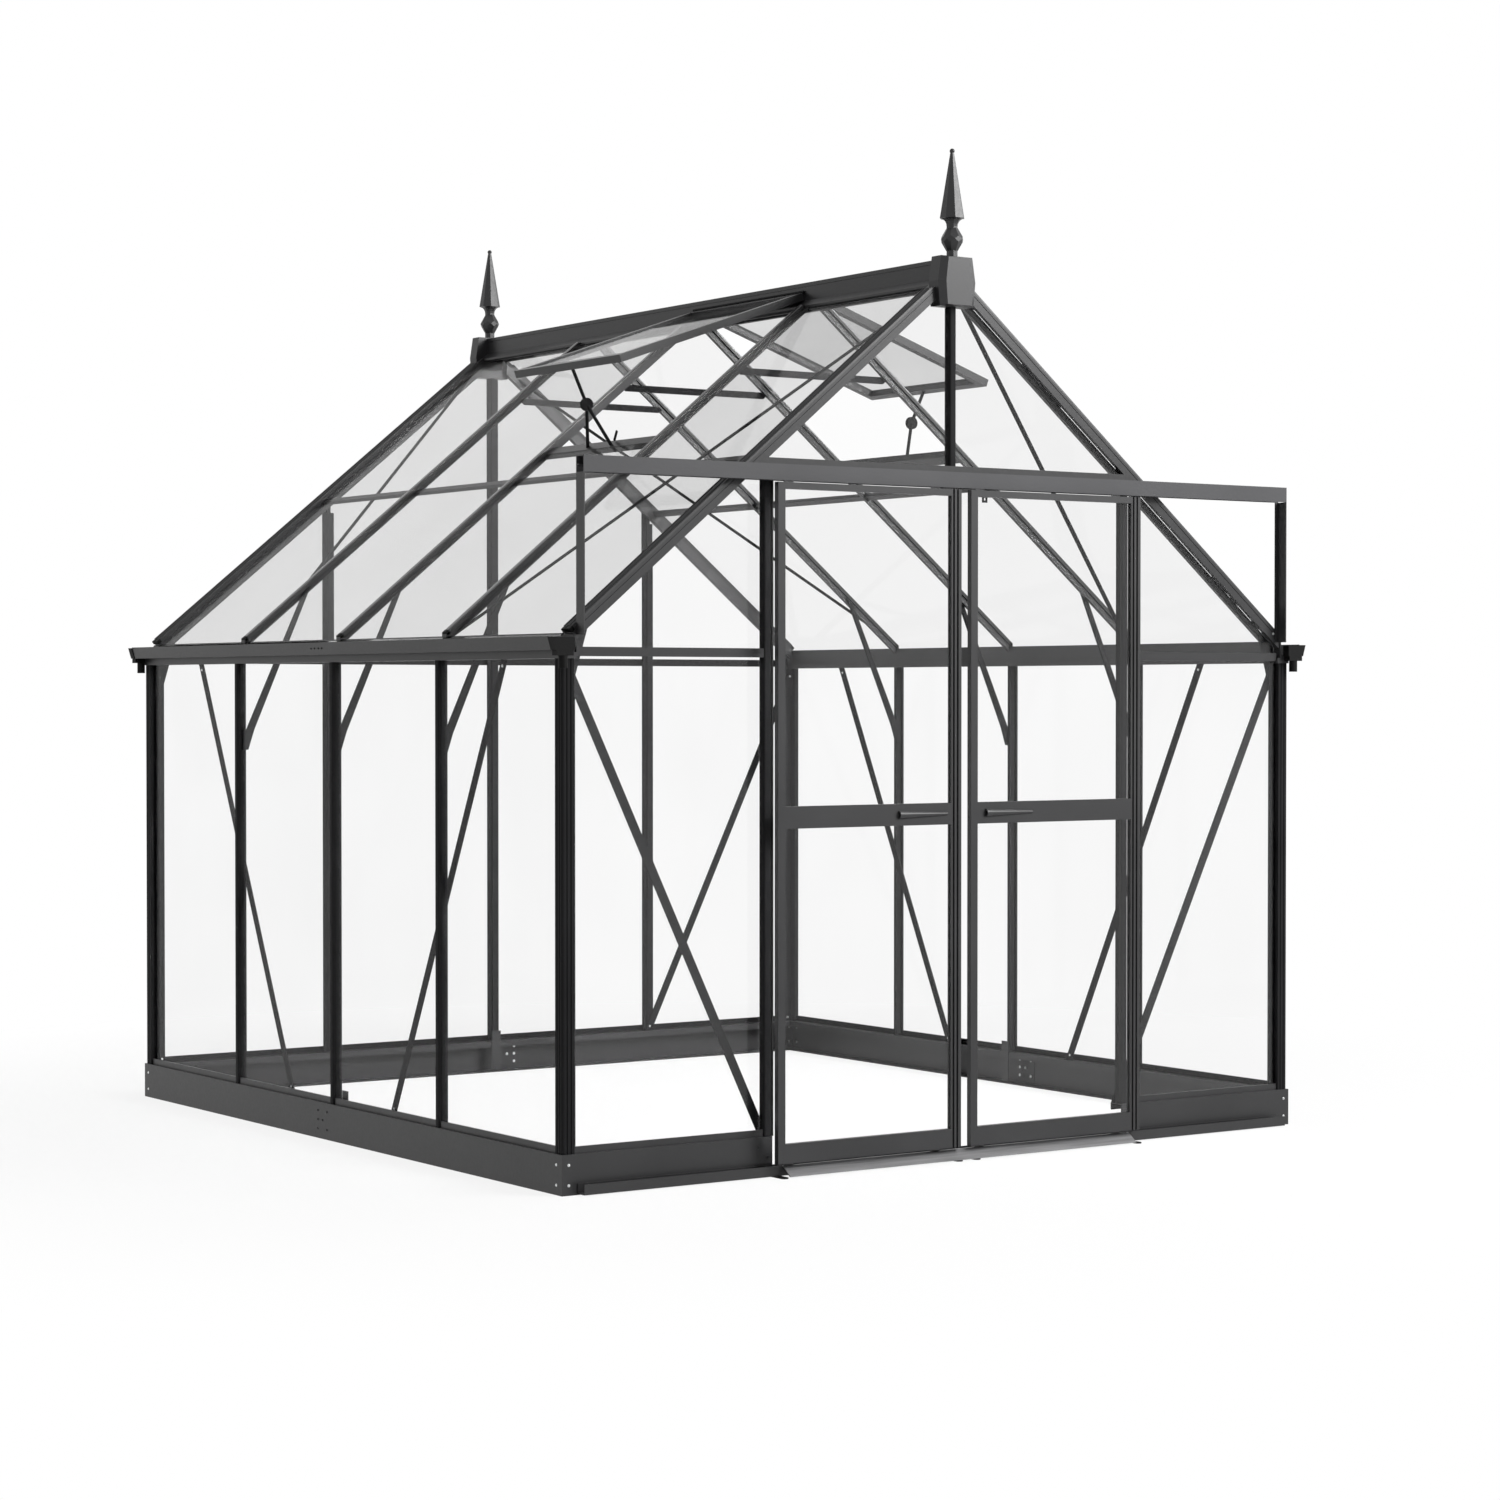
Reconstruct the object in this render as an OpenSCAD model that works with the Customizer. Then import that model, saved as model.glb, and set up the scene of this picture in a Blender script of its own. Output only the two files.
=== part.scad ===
// Walk-in glass greenhouse: aluminium glazing bars on a steel base, clear glass,
// two roof vents standing open, and two door leaves that slide apart along the front.
// Millimetres, Z up. The origin is on the ground, under the middle of the whole house.
// The front, with the doors, faces -Y.

/* [Base] */
// Width of the base over its outer faces
base_w = 2520; // [2300:10:2700]
// Length of the base over its outer faces
base_l = 2560; // [2400:10:2700]
// Height of the base sheet
base_h = 105; // [90:1:130]
// Thickness of the folded base sheet
base_t = 3; // [2:0.5:4]
// Width of the folded flanges that point inwards
base_flange = 48; // [46:1:60]
// Depth of the lip that turns down from the top flange
base_lip = 20; // [12:1:30]
// Height of the strip on the base that holds the foot of the glass
strip_h = 18; // [12:1:24]
// Thickness of the strip that holds the foot of the glass
strip_t = 6; // [4:0.5:8]

/* [Walls] */
// Spacing of the glazing bars in the side and rear walls
bay = 620; // [600:1:630]
// Distance from the base face to the outer face of the bars
wall_set = 4; // [2:1:8]
// Thickness of the outer cap of a bar
cap_t = 11; // [8:1:14]
// Width of the outer cap of a bar
cap_w = 22; // [20:1:30]
// Radius of the edges of the bars' caps
cap_round = 5; // [3:0.5:7]
// Thickness of the web of a bar
web_t = 12; // [8:1:14]
// Thickness of the glass
glass_t = 4; // [3:0.5:6]
// Gap between the edge of a glass sheet and the bar beside it
glass_gap = 1; // [0.5:0.5:2]
// Side of the square corner post
post_w = 28; // [26:1:40]
// Lip by which a corner post covers the edge of the glass
post_lip = 8; // [6:1:14]
// Wall of the corner post on its inner sides
post_wall = 4; // [3:0.5:6]
// Radius of the outer edge of a corner post
post_round = 7; // [4:0.5:10]
// Width of the grooves in the faces of a corner post
groove_w = 3; // [2:0.5:4]
// Depth of the grooves in the faces of a corner post
groove_d = 2.5; // [1.5:0.5:3]
// Distance from the corner to the first groove
groove_in = 14; // [12:1:16]
// Spacing of the two grooves
groove_step = 12; // [10:1:14]
// Height of the underside of the eaves
eaves_z = 1370; // [1300:5:1420]
// Height of the front and rear eaves bars
gable_bar_h = 24; // [20:1:28]
// Thickness of the front and rear eaves bars
gable_bar_t = 9; // [6:1:10]
// Underside of the front and rear eaves bars above the eaves underside
gable_bar_up = 6; // [4:1:10]

/* [Roof] */
// Distance from the base face to the foot of the rafters
foot_in = 38; // [34:1:44]
// Height of the roof's outer face over the eaves underside, at the foot of the rafters
eaves_rise = 80; // [76:1:90]
// Fall of the roof for each unit of run
roof_fall = 0.815; // [0.78:0.005:0.86]
// Reach of the roof glass and the rafters' caps beyond the foot of the rafters
eaves_over = 10; // [8:1:12]
// Depth of a rafter, square to the slope
rafter_d = 25; // [24:1:30]
// Thickness of the rafter cap
rafter_cap_t = 8; // [6:1:10]
// Width of a gable rafter
gable_rafter_w = 44; // [40:1:48]
// Depth of a gable rafter, square to the slope
gable_rafter_d = 29; // [27:1:32]
// Depth of the leg behind a gable rafter, square to the slope
gable_leg_d = 40; // [36:1:42]
// Width and depth of the groove along the face of a gable rafter
gable_groove = 2; // [1:0.5:3]
// Distance of that groove from the top of the face
gable_groove_in = 7; // [5:1:10]
// Width of the ridge beam
ridge_w = 44; // [40:1:60]
// Height of the ridge beam's top above the meeting line of the slopes
ridge_up = 30; // [26:1:36]
// Height of the ridge beam
ridge_h = 80; // [78:1:100]
// Wall of the ridge beam
ridge_wall = 4; // [3.5:0.5:6]
// Height of the lip along the top of the ridge beam
ridge_lip_h = 11; // [8:1:14]
// Width and depth of the groove below that lip
ridge_groove = 2; // [1:0.5:2.5]
// Reach of the flange by which the ridge beam lies over the glass
ridge_flange = 23; // [18:1:30]
// Thickness of that flange
ridge_flange_t = 5; // [4:0.5:6]
// Distance from the ridge line to the middle of the purlins
purlin_x = 640; // [600:5:750]
// Width of a purlin along the slope
purlin_w = 14; // [10:1:20]
// Depth of a purlin, square to the slope
purlin_d = 8; // [6:1:8]
// Distance from the ridge line to the lower edge of the vent sills
sill_x = 545; // [530:1:560]
// Width of a vent sill along the slope
sill_w = 25; // [20:1:30]
// Depth of a vent sill, square to the slope
sill_d = 14; // [12:1:20]

/* [Gutters] */
// Thickness of the eaves plate under the rafter feet
plate_t = 16; // [12:1:18]
// Height of the gutter floor above the eaves underside
gutter_up = 21; // [18:1:26]
// Depth of the gutter
gutter_d = 35; // [30:1:40]
// Reach of the gutter beyond the base at its floor
gutter_floor = 30; // [24:1:50]
// How far the outer wall of the gutter leans out
gutter_lean = 10; // [6:1:24]
// Wall of the gutter
gutter_wall = 4; // [3:0.5:5]
// Length of a gutter outlet along the gutter
outlet_l = 24; // [24:0.5:25]
// How much an outlet is wider than the gutter
outlet_over = 2; // [1:0.5:3]
// Distance from the foot of the rafters to the inner side of an outlet
outlet_in = 12; // [8:1:16]
// How much the box under an outlet is narrower on each side
outlet_step = 4; // [2:1:8]
// Height of the box under an outlet
outlet_box_h = 14; // [10:1:18]
// Diameter of the outlet stub
stub_dia = 24; // [18:1:24]
// Length of the outlet stub below its box
stub_l = 32; // [24:1:50]

/* [Ridge ends] */
// Height of a ridge end cap
cap_end_h = 138; // [120:1:150]
// Rise of a ridge end cap above the ridge beam
cap_end_up = 4; // [2:1:8]
// Width of a ridge end cap at mid height
cap_end_w = 130; // [120:1:140]
// Width of a ridge end cap at its top
cap_end_top_w = 108; // [96:1:116]
// Width of a ridge end cap at its bottom
cap_end_low_w = 116; // [100:1:118]
// Length of a ridge end cap
cap_end_l = 56; // [50:1:60]
// Reach of a ridge end cap beyond the base
cap_end_out = 25; // [20:1:30]
// Length over which the cap's outer end tapers
cap_end_taper = 14; // [8:1:18]
// Width of the cap's outer face as a share of the width behind its taper
cap_end_share = 0.71; // [0.6:0.01:0.85]
// How much lower the cap's outer face is at its top and its bottom
cap_end_bevel = 4; // [2:0.5:8]
// Distance from a finial's axis to the outer face of its cap
finial_in = 35; // [30:1:38]
// Width of a finial's shaft over its flats
finial_shaft = 29; // [22:1:32]
// Height of the middle of a finial's ball above the cap
finial_ball_z = 48; // [44:1:52]
// Width of a finial's ball over its corners
finial_ball = 63; // [50:1:70]
// Height of the neck below a finial's spike
finial_neck_z = 84; // [82:1:90]
// Height of the widest part of a finial's spike
finial_spike_z = 106; // [100:1:114]
// Width of a finial's spike over its corners
finial_spike = 70; // [56:1:76]
// Height of the ball at a finial's tip
finial_tip_z = 291; // [250:1:310]
// Diameter of the ball at a finial's tip
finial_tip = 14; // [10:1:18]

/* [Braces] */
// Width of the flat wall and gable braces
brace_w = 25; // [20:1:30]
// Thickness of the flat braces
brace_t = 4; // [3:0.5:5]
// Distance from the upright at the foot of a gable brace to the brace's middle
gable_brace_low = 5; // [0:1:18]
// Distance from the side of the base to the head of a gable brace
gable_brace_in = 34; // [34:1:50]
// Gap between the head of a gable brace and the eaves underside
gable_brace_gap = 12; // [2:1:30]
// Depth of a corner gusset below the eaves
gusset_d = 95; // [80:1:110]
// Reach of a corner gusset beyond the eaves plate
gusset_reach = 52; // [40:1:60]
// Lap of a corner gusset on the post
gusset_lap = 10; // [6:1:14]
// Distance from the post's lip to the lower corner of a gusset
gusset_in = 14; // [10:1:20]
// Rise of a gusset's lower edge
gusset_rise = 33; // [20:1:45]
// Thickness of the knee braces and collar ties
tie_t = 8; // [6:1:10]
// Distance of the collar ties below the meeting line of the slopes
tie_drop = 241; // [220:1:260]
// Distance by which a collar tie runs under its rafters
tie_lap = 8; // [6:1:16]
// Depth of the collar ties
tie_d = 20; // [16:1:26]
// Length of the pointed ends of the collar ties
tie_point = 12; // [8:1:16]
// Underside of the foot of a knee brace, below the eaves
knee_low = 259; // [220:1:290]
// Height of the foot of a knee brace
knee_foot_h = 61; // [50:1:80]
// Lap of a knee brace on the web of its stud
knee_lap = 12; // [8:1:16]
// Distance from the foot of the rafters to the head of a knee brace
knee_in = 200; // [180:1:220]
// Width of a knee brace, measured level
knee_w = 24; // [18:1:30]
// Width of the roof braces
roof_brace_w = 16; // [12:1:24]
// Distance from the ridge line to the head of the front roof braces
roof_brace_x = 60; // [60:1:120]
// Distance from the foot of the rafters to the foot of the front roof braces
roof_brace_in = 24; // [24:1:120]
// Distance from the ridge line to the head of the rear roof braces
rear_brace_x = 120; // [75:1:140]
// Distance from the foot of the rafters to the foot of the rear roof braces
rear_brace_in = 122; // [60:1:140]

/* [Doorway] */
// Distance from the middle of the doorway to the middle of a jamb
jamb_x = 620; // [612:1:626]
// Width of a jamb
jamb_w = 24; // [22:1:30]
// Underside of the door header above the underside of the top track
header_up = 37; // [34:1:40]
// Height of the door header
header_h = 25; // [20:1:30]
// Distance from the foot of the rafters to the ends of the tracks
track_in = 8; // [4:1:12]
// Height of the underside of the top track
track_z = 1844; // [1836:1:1850]
// Height of the top track
track_h = 43; // [41:1:46]
// Depth of the top track
track_d = 38; // [37:1:40]
// Width of the ledge in the top track
ledge_w = 10; // [8:1:11]
// Height of the ledge above the underside of the top track
ledge_up = 21; // [20:1:22]
// Wall of the tracks and of the posts under the top track
track_wall = 3; // [2:0.5:3]
// Width of the flange by which a track post lies on the gable rafter
track_post_w = 12; // [10:1:20]
// Lap of a track post on the gable rafter, below the roof's face
track_post_lap = 25; // [16:1:30]
// Height of the bottom track's underside above the ground
sill_low = 3; // [2:0.5:4]
// Height of the bottom track
sill_h = 27; // [24:1:28]
// Half width of the threshold ramp
ramp_x = 601; // [580:1:601]
// Reach of the threshold ramp in front of the track
ramp_out = 41; // [34:1:60]
// Thickness of the ramp sheet
ramp_t = 3; // [2:0.5:3.5]
// Width of the level hook of the ramp in front of the track
ramp_lip = 6; // [4:1:8]
// Diameter of the feet under the bottom track
foot_dia = 22; // [18:1:24]
// Gap between the feet and the lower edge of the ramp
ramp_gap = 1; // [0.5:0.5:2]
// Distance from the middle of a foot to the edge of the leaf over it
foot_edge = 14; // [12:1:16]

/* [Door leaves] */
// Gap between the closed leaves
leaf_gap = 34; // [30:1:40]
// Width of a leaf
leaf_w = 611; // [605:1:615]
// Thickness of a leaf
leaf_t = 17; // [15:1:18]
// Gap between the tracks and the back of a leaf
leaf_set = 5; // [5:0.5:7]
// Gap between the ramp's hook and the underside of a leaf
leaf_low = 7; // [6:1:9]
// Gap between the top of a leaf and the underside of the top track
leaf_head = 6; // [5:1:8]
// Width of the plain stile
stile_w = 23; // [20:1:28]
// Width of the grooved stile
wide_stile_w = 35; // [32:1:38]
// Width of the two grooves in the grooved stile
stile_groove = 6; // [4:0.5:7]
// Depth of those grooves
stile_groove_d = 6; // [4:0.5:8]
// Width of the strip between the glass and the first groove
stile_edge = 5.5; // [4:0.5:7]
// Width of the strip between the grooves
stile_rib = 7.5; // [6:0.5:9]
// Height of the bottom rail
bottom_rail_h = 52; // [45:1:60]
// Height of the middle rail's underside above the bottom of the leaf
mid_rail_up = 886; // [850:1:920]
// Height of the middle rail
mid_rail_h = 59; // [50:1:70]
// Height of the top rail
top_rail_h = 18; // [16:1:24]
// Length of a handle
handle_l = 165; // [140:5:200]
// Distance from the leaf's inner edge to its handle
handle_in = 50; // [45:1:80]
// Height of the open end of a handle
handle_w = 22; // [18:1:26]
// Height of the closed end of a handle
handle_tip = 9; // [7:1:12]
// Wall of a handle
handle_wall = 2.5; // [2:0.5:3]
// Length of the hollow in a handle
handle_hollow = 110; // [80:1:130]
// Diameter of a hanger's wheel
wheel_dia = 13; // [12:0.5:13]
// Running gap between a wheel and its ledge
wheel_gap = 0.4; // [0.3:0.1:1]
// Gap between a wheel and the back wall of the top track
wheel_side = 1.5; // [1:0.5:2]
// Width of a hanger
hanger_w = 30; // [24:1:40]
// Thickness of a hanger's plate
hanger_t = 4; // [3:0.5:5]
// Height of the arm of a hanger or guide
hanger_arm = 12; // [8:1:14]
// Distance from the back of a leaf to the front of a hanger's plate
hanger_set = 20; // [18:0.5:21]
// Distance from the edge of a leaf to the middle of a hanger
hanger_in = 60; // [40:1:100]
// Height of a guide's arm above the bottom of its leaf
guide_up = 8; // [4:1:20]
// Gap between the foot of a guide and the floor of the bottom track
guide_gap = 6; // [5:0.5:8]

/* [Vents] */
// Slope of a vent as it stands open
vent_angle = 18.9; // [15:0.1:24]
// Length of a vent from the hinge to its lower edge
vent_l = 666; // [640:1:680]
// Width of the bars of a vent frame
vent_bar = 26; // [20:1:34]
// Thickness of a vent frame
vent_t = 22; // [18:1:24]
// Height of the vent hinge above the meeting line of the slopes
vent_up = 1; // [0:0.5:3]
// Gap between a vent and the rafters' caps
vent_gap = 7; // [3:0.5:10]
// Depth of the glass below the top of a vent frame
vent_glass_in = 4; // [2:0.5:8]
// Diameter of the disc of a vent opener
opener_disc = 38; // [30:1:50]
// Thickness of the disc of a vent opener
opener_disc_t = 12; // [8:1:16]
// Diameter of the arms of a vent opener
opener_arm = 10; // [8:1:12]
// Distance from the vent sill to the disc of a vent opener, away from the ridge
opener_out = 43; // [36:1:50]
// Height of the disc's middle above the roof's face
opener_up = 149; // [140:1:156]
// Distance from the vent's lower edge to the head of its opener
opener_head = 20; // [12:1:24]
// Distance along the sill from the disc to the foot under it
opener_foot = 48; // [40:1:60]
// Distance along the sill from the disc to the second foot of the left opener
opener_prop = 84; // [60:1:110]

/* [Hidden] */
$fn = 48;
frame_grey = "#3A3A3C";
glass_clear = [0.86, 0.89, 0.90, 0.35];
plastic_black = "#141414";
bare_metal = "#9F9F9F";
// length by which cutting forms run past what they cut
past = 1;

half_w = base_w / 2;
half_l = base_l / 2;
wall_x = half_w - wall_set;
wall_y = half_l - wall_set;
// planes of the glass, inner edges of the posts, of the bars' webs and of the base's flanges
glass_x = wall_x - cap_t;
glass_y = wall_y - cap_t;
inner_x = half_w - base_flange;
inner_y = half_l - base_flange;
post_in_x = wall_x - post_w;
post_in_y = wall_y - post_w;
lip_x = post_in_x - post_lip;
lip_y = post_in_y - post_lip;
// the bars' webs reach as far in as the gussets, so that the braces lie flat on both
web_in_x = post_in_x - brace_t;
web_in_y = post_in_y - brace_t;
bar_rows = [-bay, 0, bay];

foot_x = half_w - foot_in;
roof_z = eaves_z + eaves_rise + roof_fall * foot_x;
pitch = atan(roof_fall);
drop = 1 / cos(pitch);
gable_in = wall_y - gable_rafter_w;
// bay edges along a slope, from the front gable to the rear
roof_edges = [-gable_in, -bay, 0, bay, gable_in];
ridge_top = roof_z + ridge_up;
ridge_low = ridge_top - ridge_h;
flange_x = ridge_w / 2 + ridge_flange;
glass_d = rafter_cap_t + glass_t;
tie_z = roof_z - tie_drop;
knee_x = foot_x - knee_in;
floor_z = eaves_z + gutter_up;
lip_z = floor_z + gutter_d;
out_x = half_w + gutter_floor;

cap_end_y = half_l + cap_end_out;
cap_end_top = ridge_top + cap_end_up;
cap_end_low = cap_end_top - cap_end_h;

// edges of the jambs; the front panels of the base run under them to the inner ones
jamb_in = jamb_x - jamb_w / 2;
jamb_out = jamb_x + jamb_w / 2;
track_x = foot_x - track_in;
track_top = track_z + track_h;
header_z = track_z + header_up;
header_top = header_z + header_h;
rail_back = -wall_y;
rail_front = rail_back - track_d;
ledge_z = track_z + ledge_up;
sill_top = sill_low + sill_h;
ramp_front = rail_front - ramp_out;

leaf_back = rail_front - leaf_set;
leaf_front = leaf_back - leaf_t;
leaf_z = sill_top + leaf_low;
leaf_top = track_z - leaf_head;
mid_rail_z = leaf_z + mid_rail_up;
// left edges of the two leaves as they stand closed
left_x = -leaf_gap / 2 - leaf_w;
right_x = leaf_gap / 2;
hanger_back = leaf_back + hanger_set + hanger_t;

vent_x = ridge_w / 2 + vent_t * sin(vent_angle);
vent_z = roof_z + vent_up;
vent_bay = [-bay, 0];
vent_y = [vent_bay[0] + cap_w / 2 + vent_gap, vent_bay[1] - cap_w / 2 - vent_gap];

// the origin is under the middle of the house and its threshold, from front to rear
middle_y = (-ramp_front - cap_end_y) / 2;

// height of the outer face of a slope at a distance from the ridge line and a depth below it
function slope_z(x, depth = 0) = roof_z - roof_fall * x - depth * drop;
// height of the underside of the gable rafters at a distance from the ridge line
function under_z(x) = slope_z(x, gable_rafter_d);
// distance from the ridge line at which a depth below the slope has a height
function slope_x(z, depth) = (roof_z - depth * drop - z) / roof_fall;
// a quarter round in four steps, starting from an angle
function quarter(x, y, r, a) = [for (i = [0 : 4]) [x + r * cos(a + i * 22.5), y + r * sin(a + i * 22.5)]];
// an outline and its mirror image across the second axis, as one closed outline
function mirrored(right) = concat(right, [for (i = [len(right) - 1 : -1 : 0]) [-right[i].x, right[i].y]]);

// puts the origin under the middle of everything that stands out, front and rear
module centred() {
    translate([0, middle_y, 0]) children();
}

// a bar along X from an outline in Y and Z
module along_x(x0, x1, outline) {
    translate([x0, 0, 0]) rotate([90, 0, 90]) linear_extrude(x1 - x0) polygon(outline);
}

// a bar along Y from an outline in X and Z
module along_y(y0, y1, outline) {
    translate([0, y1, 0]) rotate([90, 0, 0]) linear_extrude(y1 - y0) polygon(outline);
}

// an upright from an outline in X and Y
module upright(z0, z1, outline) {
    translate([0, 0, z0]) linear_extrude(z1 - z0) polygon(outline);
}

// a block between two corners
module block(low, high) {
    translate(low) cube(high - low);
}

module both_sides() {
    children();
    mirror([1, 0, 0]) children();
}

module both_ends() {
    children();
    mirror([0, 1, 0]) children();
}

// a bar on the right slope between two distances from the ridge line,
// two depths square to the slope and two places along the ridge, with plumb ends
module on_slope(x0, x1, d0, d1, y0, y1) {
    along_y(y0, y1, [
        [x0, slope_z(x0, d0)], [x1, slope_z(x1, d0)], [x1, slope_z(x1, d1)], [x0, slope_z(x0, d1)]
    ]);
}

// a round bar between two points
module rod(a, b, dia) {
    v = b - a;
    translate(a)
        rotate([0, acos(v.z / norm(v)), atan2(v.y, v.x)])
            cylinder(d = dia, h = norm(v), $fn = 24);
}

// ends of the bay after an edge, where half a bar stands on every edge but the outermost
function bay_low(edges, i, half) = edges[i] + (i == 0 ? 0 : half);
function bay_high(edges, i, half) = edges[i + 1] - (i == len(edges) - 2 ? 0 : half);

// folded sheet of the base along Y, with its outer face on the right
module base_fold_y(y0, y1) {
    along_y(y0, y1, [
        [half_w, 0], [half_w, base_h], [inner_x, base_h], [inner_x, base_h - base_lip],
        [inner_x + base_t, base_h - base_lip], [inner_x + base_t, base_h - base_t],
        [half_w - base_t, base_h - base_t], [half_w - base_t, base_t],
        [inner_x, base_t], [inner_x, 0]
    ]);
}

// folded sheet of the base along X, with its outer face at the rear;
// the face alone runs on to the corner, past the flanges of the side sheets
module base_fold_x(x0, x1, face_x0, face_x1) {
    along_x(x0, x1, [
        [half_l, 0], [half_l, base_h], [inner_y, base_h], [inner_y, base_h - base_lip],
        [inner_y + base_t, base_h - base_lip], [inner_y + base_t, base_h - base_t],
        [half_l - base_t, base_h - base_t], [half_l - base_t, base_t],
        [inner_y, base_t], [inner_y, 0]
    ]);
    block([face_x0, half_l - base_t, 0], [face_x1, half_l, base_h]);
}

// strip in front of the foot of a gable sheet
module strip_x(x0, x1) {
    block([x0, glass_y, base_h], [x1, glass_y + strip_t, base_h + strip_h]);
}

module base_sides() {
    edges = [-lip_y, -bay, 0, bay, lip_y];
    color(frame_grey) both_sides() {
        base_fold_y(-half_l + base_t, half_l - base_t);
        for (i = [0 : len(edges) - 2])
            block([glass_x, bay_low(edges, i, cap_w / 2), base_h],
                [glass_x + strip_t, bay_high(edges, i, cap_w / 2), base_h + strip_h]);
    }
}

module base_rear() {
    edges = [-lip_x, -bay, 0, bay, lip_x];
    color(frame_grey) {
        base_fold_x(-inner_x, inner_x, -half_w, half_w);
        for (i = [0 : len(edges) - 2])
            strip_x(bay_low(edges, i, cap_w / 2), bay_high(edges, i, cap_w / 2));
    }
}

module base_front() {
    color(frame_grey) both_sides() mirror([0, 1, 0]) {
        base_fold_x(jamb_in, inner_x, jamb_in, half_w);
        strip_x(jamb_out, lip_x);
    }
}

// hollow square post with a lip along each wall, a round outer edge and grooved faces
module corner_post() {
    low = base_h - past;
    high = eaves_z + past;
    half = groove_w / 2;
    difference() {
        upright(base_h, eaves_z, concat(
            [[wall_x, lip_y]],
            quarter(wall_x - post_round, wall_y - post_round, post_round, 0),
            [
                [lip_x, wall_y], [lip_x, glass_y], [post_in_x, glass_y], [post_in_x, post_in_y],
                [glass_x, post_in_y], [glass_x, lip_y]
            ]
        ));
        block([post_in_x + post_wall, post_in_y + post_wall, low],
            [wall_x - 2 * post_wall, wall_y - 2 * post_wall, high]);
        for (d = [groove_in, groove_in + groove_step]) {
            block([wall_x - groove_d, wall_y - d - half, low], [wall_x + past, wall_y - d + half, high]);
            block([wall_x - d - half, wall_y - groove_d, low], [wall_x - d + half, wall_y + past, high]);
        }
    }
}

module corner_posts() {
    color(frame_grey) both_sides() both_ends() corner_post();
}

// tee-shaped glazing bar of a side wall, with a round-edged cap
module side_stud(y) {
    upright(base_h, eaves_z, concat(
        [[glass_x, y - cap_w / 2]],
        quarter(wall_x - cap_round, y - cap_w / 2 + cap_round, cap_round, -90),
        quarter(wall_x - cap_round, y + cap_w / 2 - cap_round, cap_round, 0),
        [
            [glass_x, y + cap_w / 2], [glass_x, y + web_t / 2], [web_in_x, y + web_t / 2],
            [web_in_x, y - web_t / 2], [glass_x, y - web_t / 2]
        ]
    ));
}

module side_studs() {
    color(frame_grey) both_sides() for (y = bar_rows) side_stud(y);
}

// tee-shaped glazing bar of the rear wall, or of the front with mirror()
module gable_stud(x, w, z0, z1) {
    upright(z0, z1, concat(
        [[x + w / 2, glass_y]],
        quarter(x + w / 2 - cap_round, wall_y - cap_round, cap_round, 0),
        quarter(x - w / 2 + cap_round, wall_y - cap_round, cap_round, 90),
        [
            [x - w / 2, glass_y], [x - web_t / 2, glass_y], [x - web_t / 2, web_in_y],
            [x + web_t / 2, web_in_y], [x + web_t / 2, glass_y]
        ]
    ));
}

// everything above the underside of the right gable rafter
module over_rafter() {
    along_y(-half_l, half_l, [
        [0, under_z(0)], [half_w, under_z(half_w)], [half_w, ridge_top], [0, ridge_top]
    ]);
}

module rear_posts() {
    color(frame_grey) {
        gable_stud(0, cap_w, base_h, cap_end_low);
        both_sides() difference() {
            gable_stud(bay, cap_w, base_h, slope_z(bay));
            over_rafter();
        }
    }
}

module door_jambs() {
    color(frame_grey) both_sides() mirror([0, 1, 0]) gable_stud(jamb_x, jamb_w, base_h, header_z);
}

// eaves plate and gutter drawn as one profile
module eaves_gutter() {
    trough_x = foot_x + gutter_wall;
    along_y(-half_l, half_l, [
        [inner_x, eaves_z], [wall_x, eaves_z], [wall_x, floor_z], [out_x, floor_z],
        [out_x + gutter_lean, lip_z], [out_x + gutter_lean - gutter_wall, lip_z],
        [out_x - gutter_wall, floor_z + gutter_wall], [trough_x, floor_z + gutter_wall],
        [trough_x, slope_z(trough_x, glass_d)], [foot_x, slope_z(foot_x, glass_d)],
        [foot_x, eaves_z + plate_t], [inner_x, eaves_z + plate_t]
    ]);
}

module eaves_gutters() {
    color(frame_grey) both_sides() eaves_gutter();
}

// moulded outlet that closes the end of a gutter, with a box and a round stub under it
module gutter_outlet() {
    x0 = foot_x + outlet_in;
    x1 = out_x + outlet_over;
    box_z = floor_z - outlet_box_h;
    along_y(half_l, half_l + outlet_l, [
        [x0, floor_z], [x1, floor_z], [x1 + gutter_lean, lip_z - outlet_over],
        [x0, lip_z - outlet_over]
    ]);
    block([x0 + outlet_step, half_l, box_z], [x1 - outlet_step, half_l + outlet_l, floor_z]);
    translate([(x0 + x1) / 2, half_l + outlet_l / 2, box_z - stub_l])
        cylinder(d = stub_dia, h = stub_l);
}

module gutter_outlets() {
    color(plastic_black) both_sides() both_ends() gutter_outlet();
}

// rear gable rafter of the right slope: a grooved face and a deeper leg behind it
module gable_rafter() {
    x0 = flange_x + glass_gap;
    difference() {
        on_slope(x0, foot_x, 0, gable_rafter_d, gable_in, wall_y);
        on_slope(0, half_w, gable_groove_in, gable_groove_in + gable_groove,
            wall_y - gable_groove, wall_y + past);
    }
    on_slope(x0, foot_x, gable_rafter_d, gable_leg_d, gable_in, web_in_y);
}

module gable_rafters() {
    color(frame_grey) both_sides() both_ends() difference() {
        gable_rafter();
        ridge_cap_body();
    }
}

// tee-shaped glazing bar of the roof; its cap stops at the flange of the ridge beam
module rafter(y) {
    on_slope(flange_x + glass_gap, foot_x + eaves_over, 0, rafter_cap_t, y - cap_w / 2, y + cap_w / 2);
    on_slope(ridge_w / 2, foot_x, rafter_cap_t, rafter_d, y - web_t / 2, y + web_t / 2);
}

module rafters() {
    color(frame_grey) both_sides() for (y = bar_rows) rafter(y);
}

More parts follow.
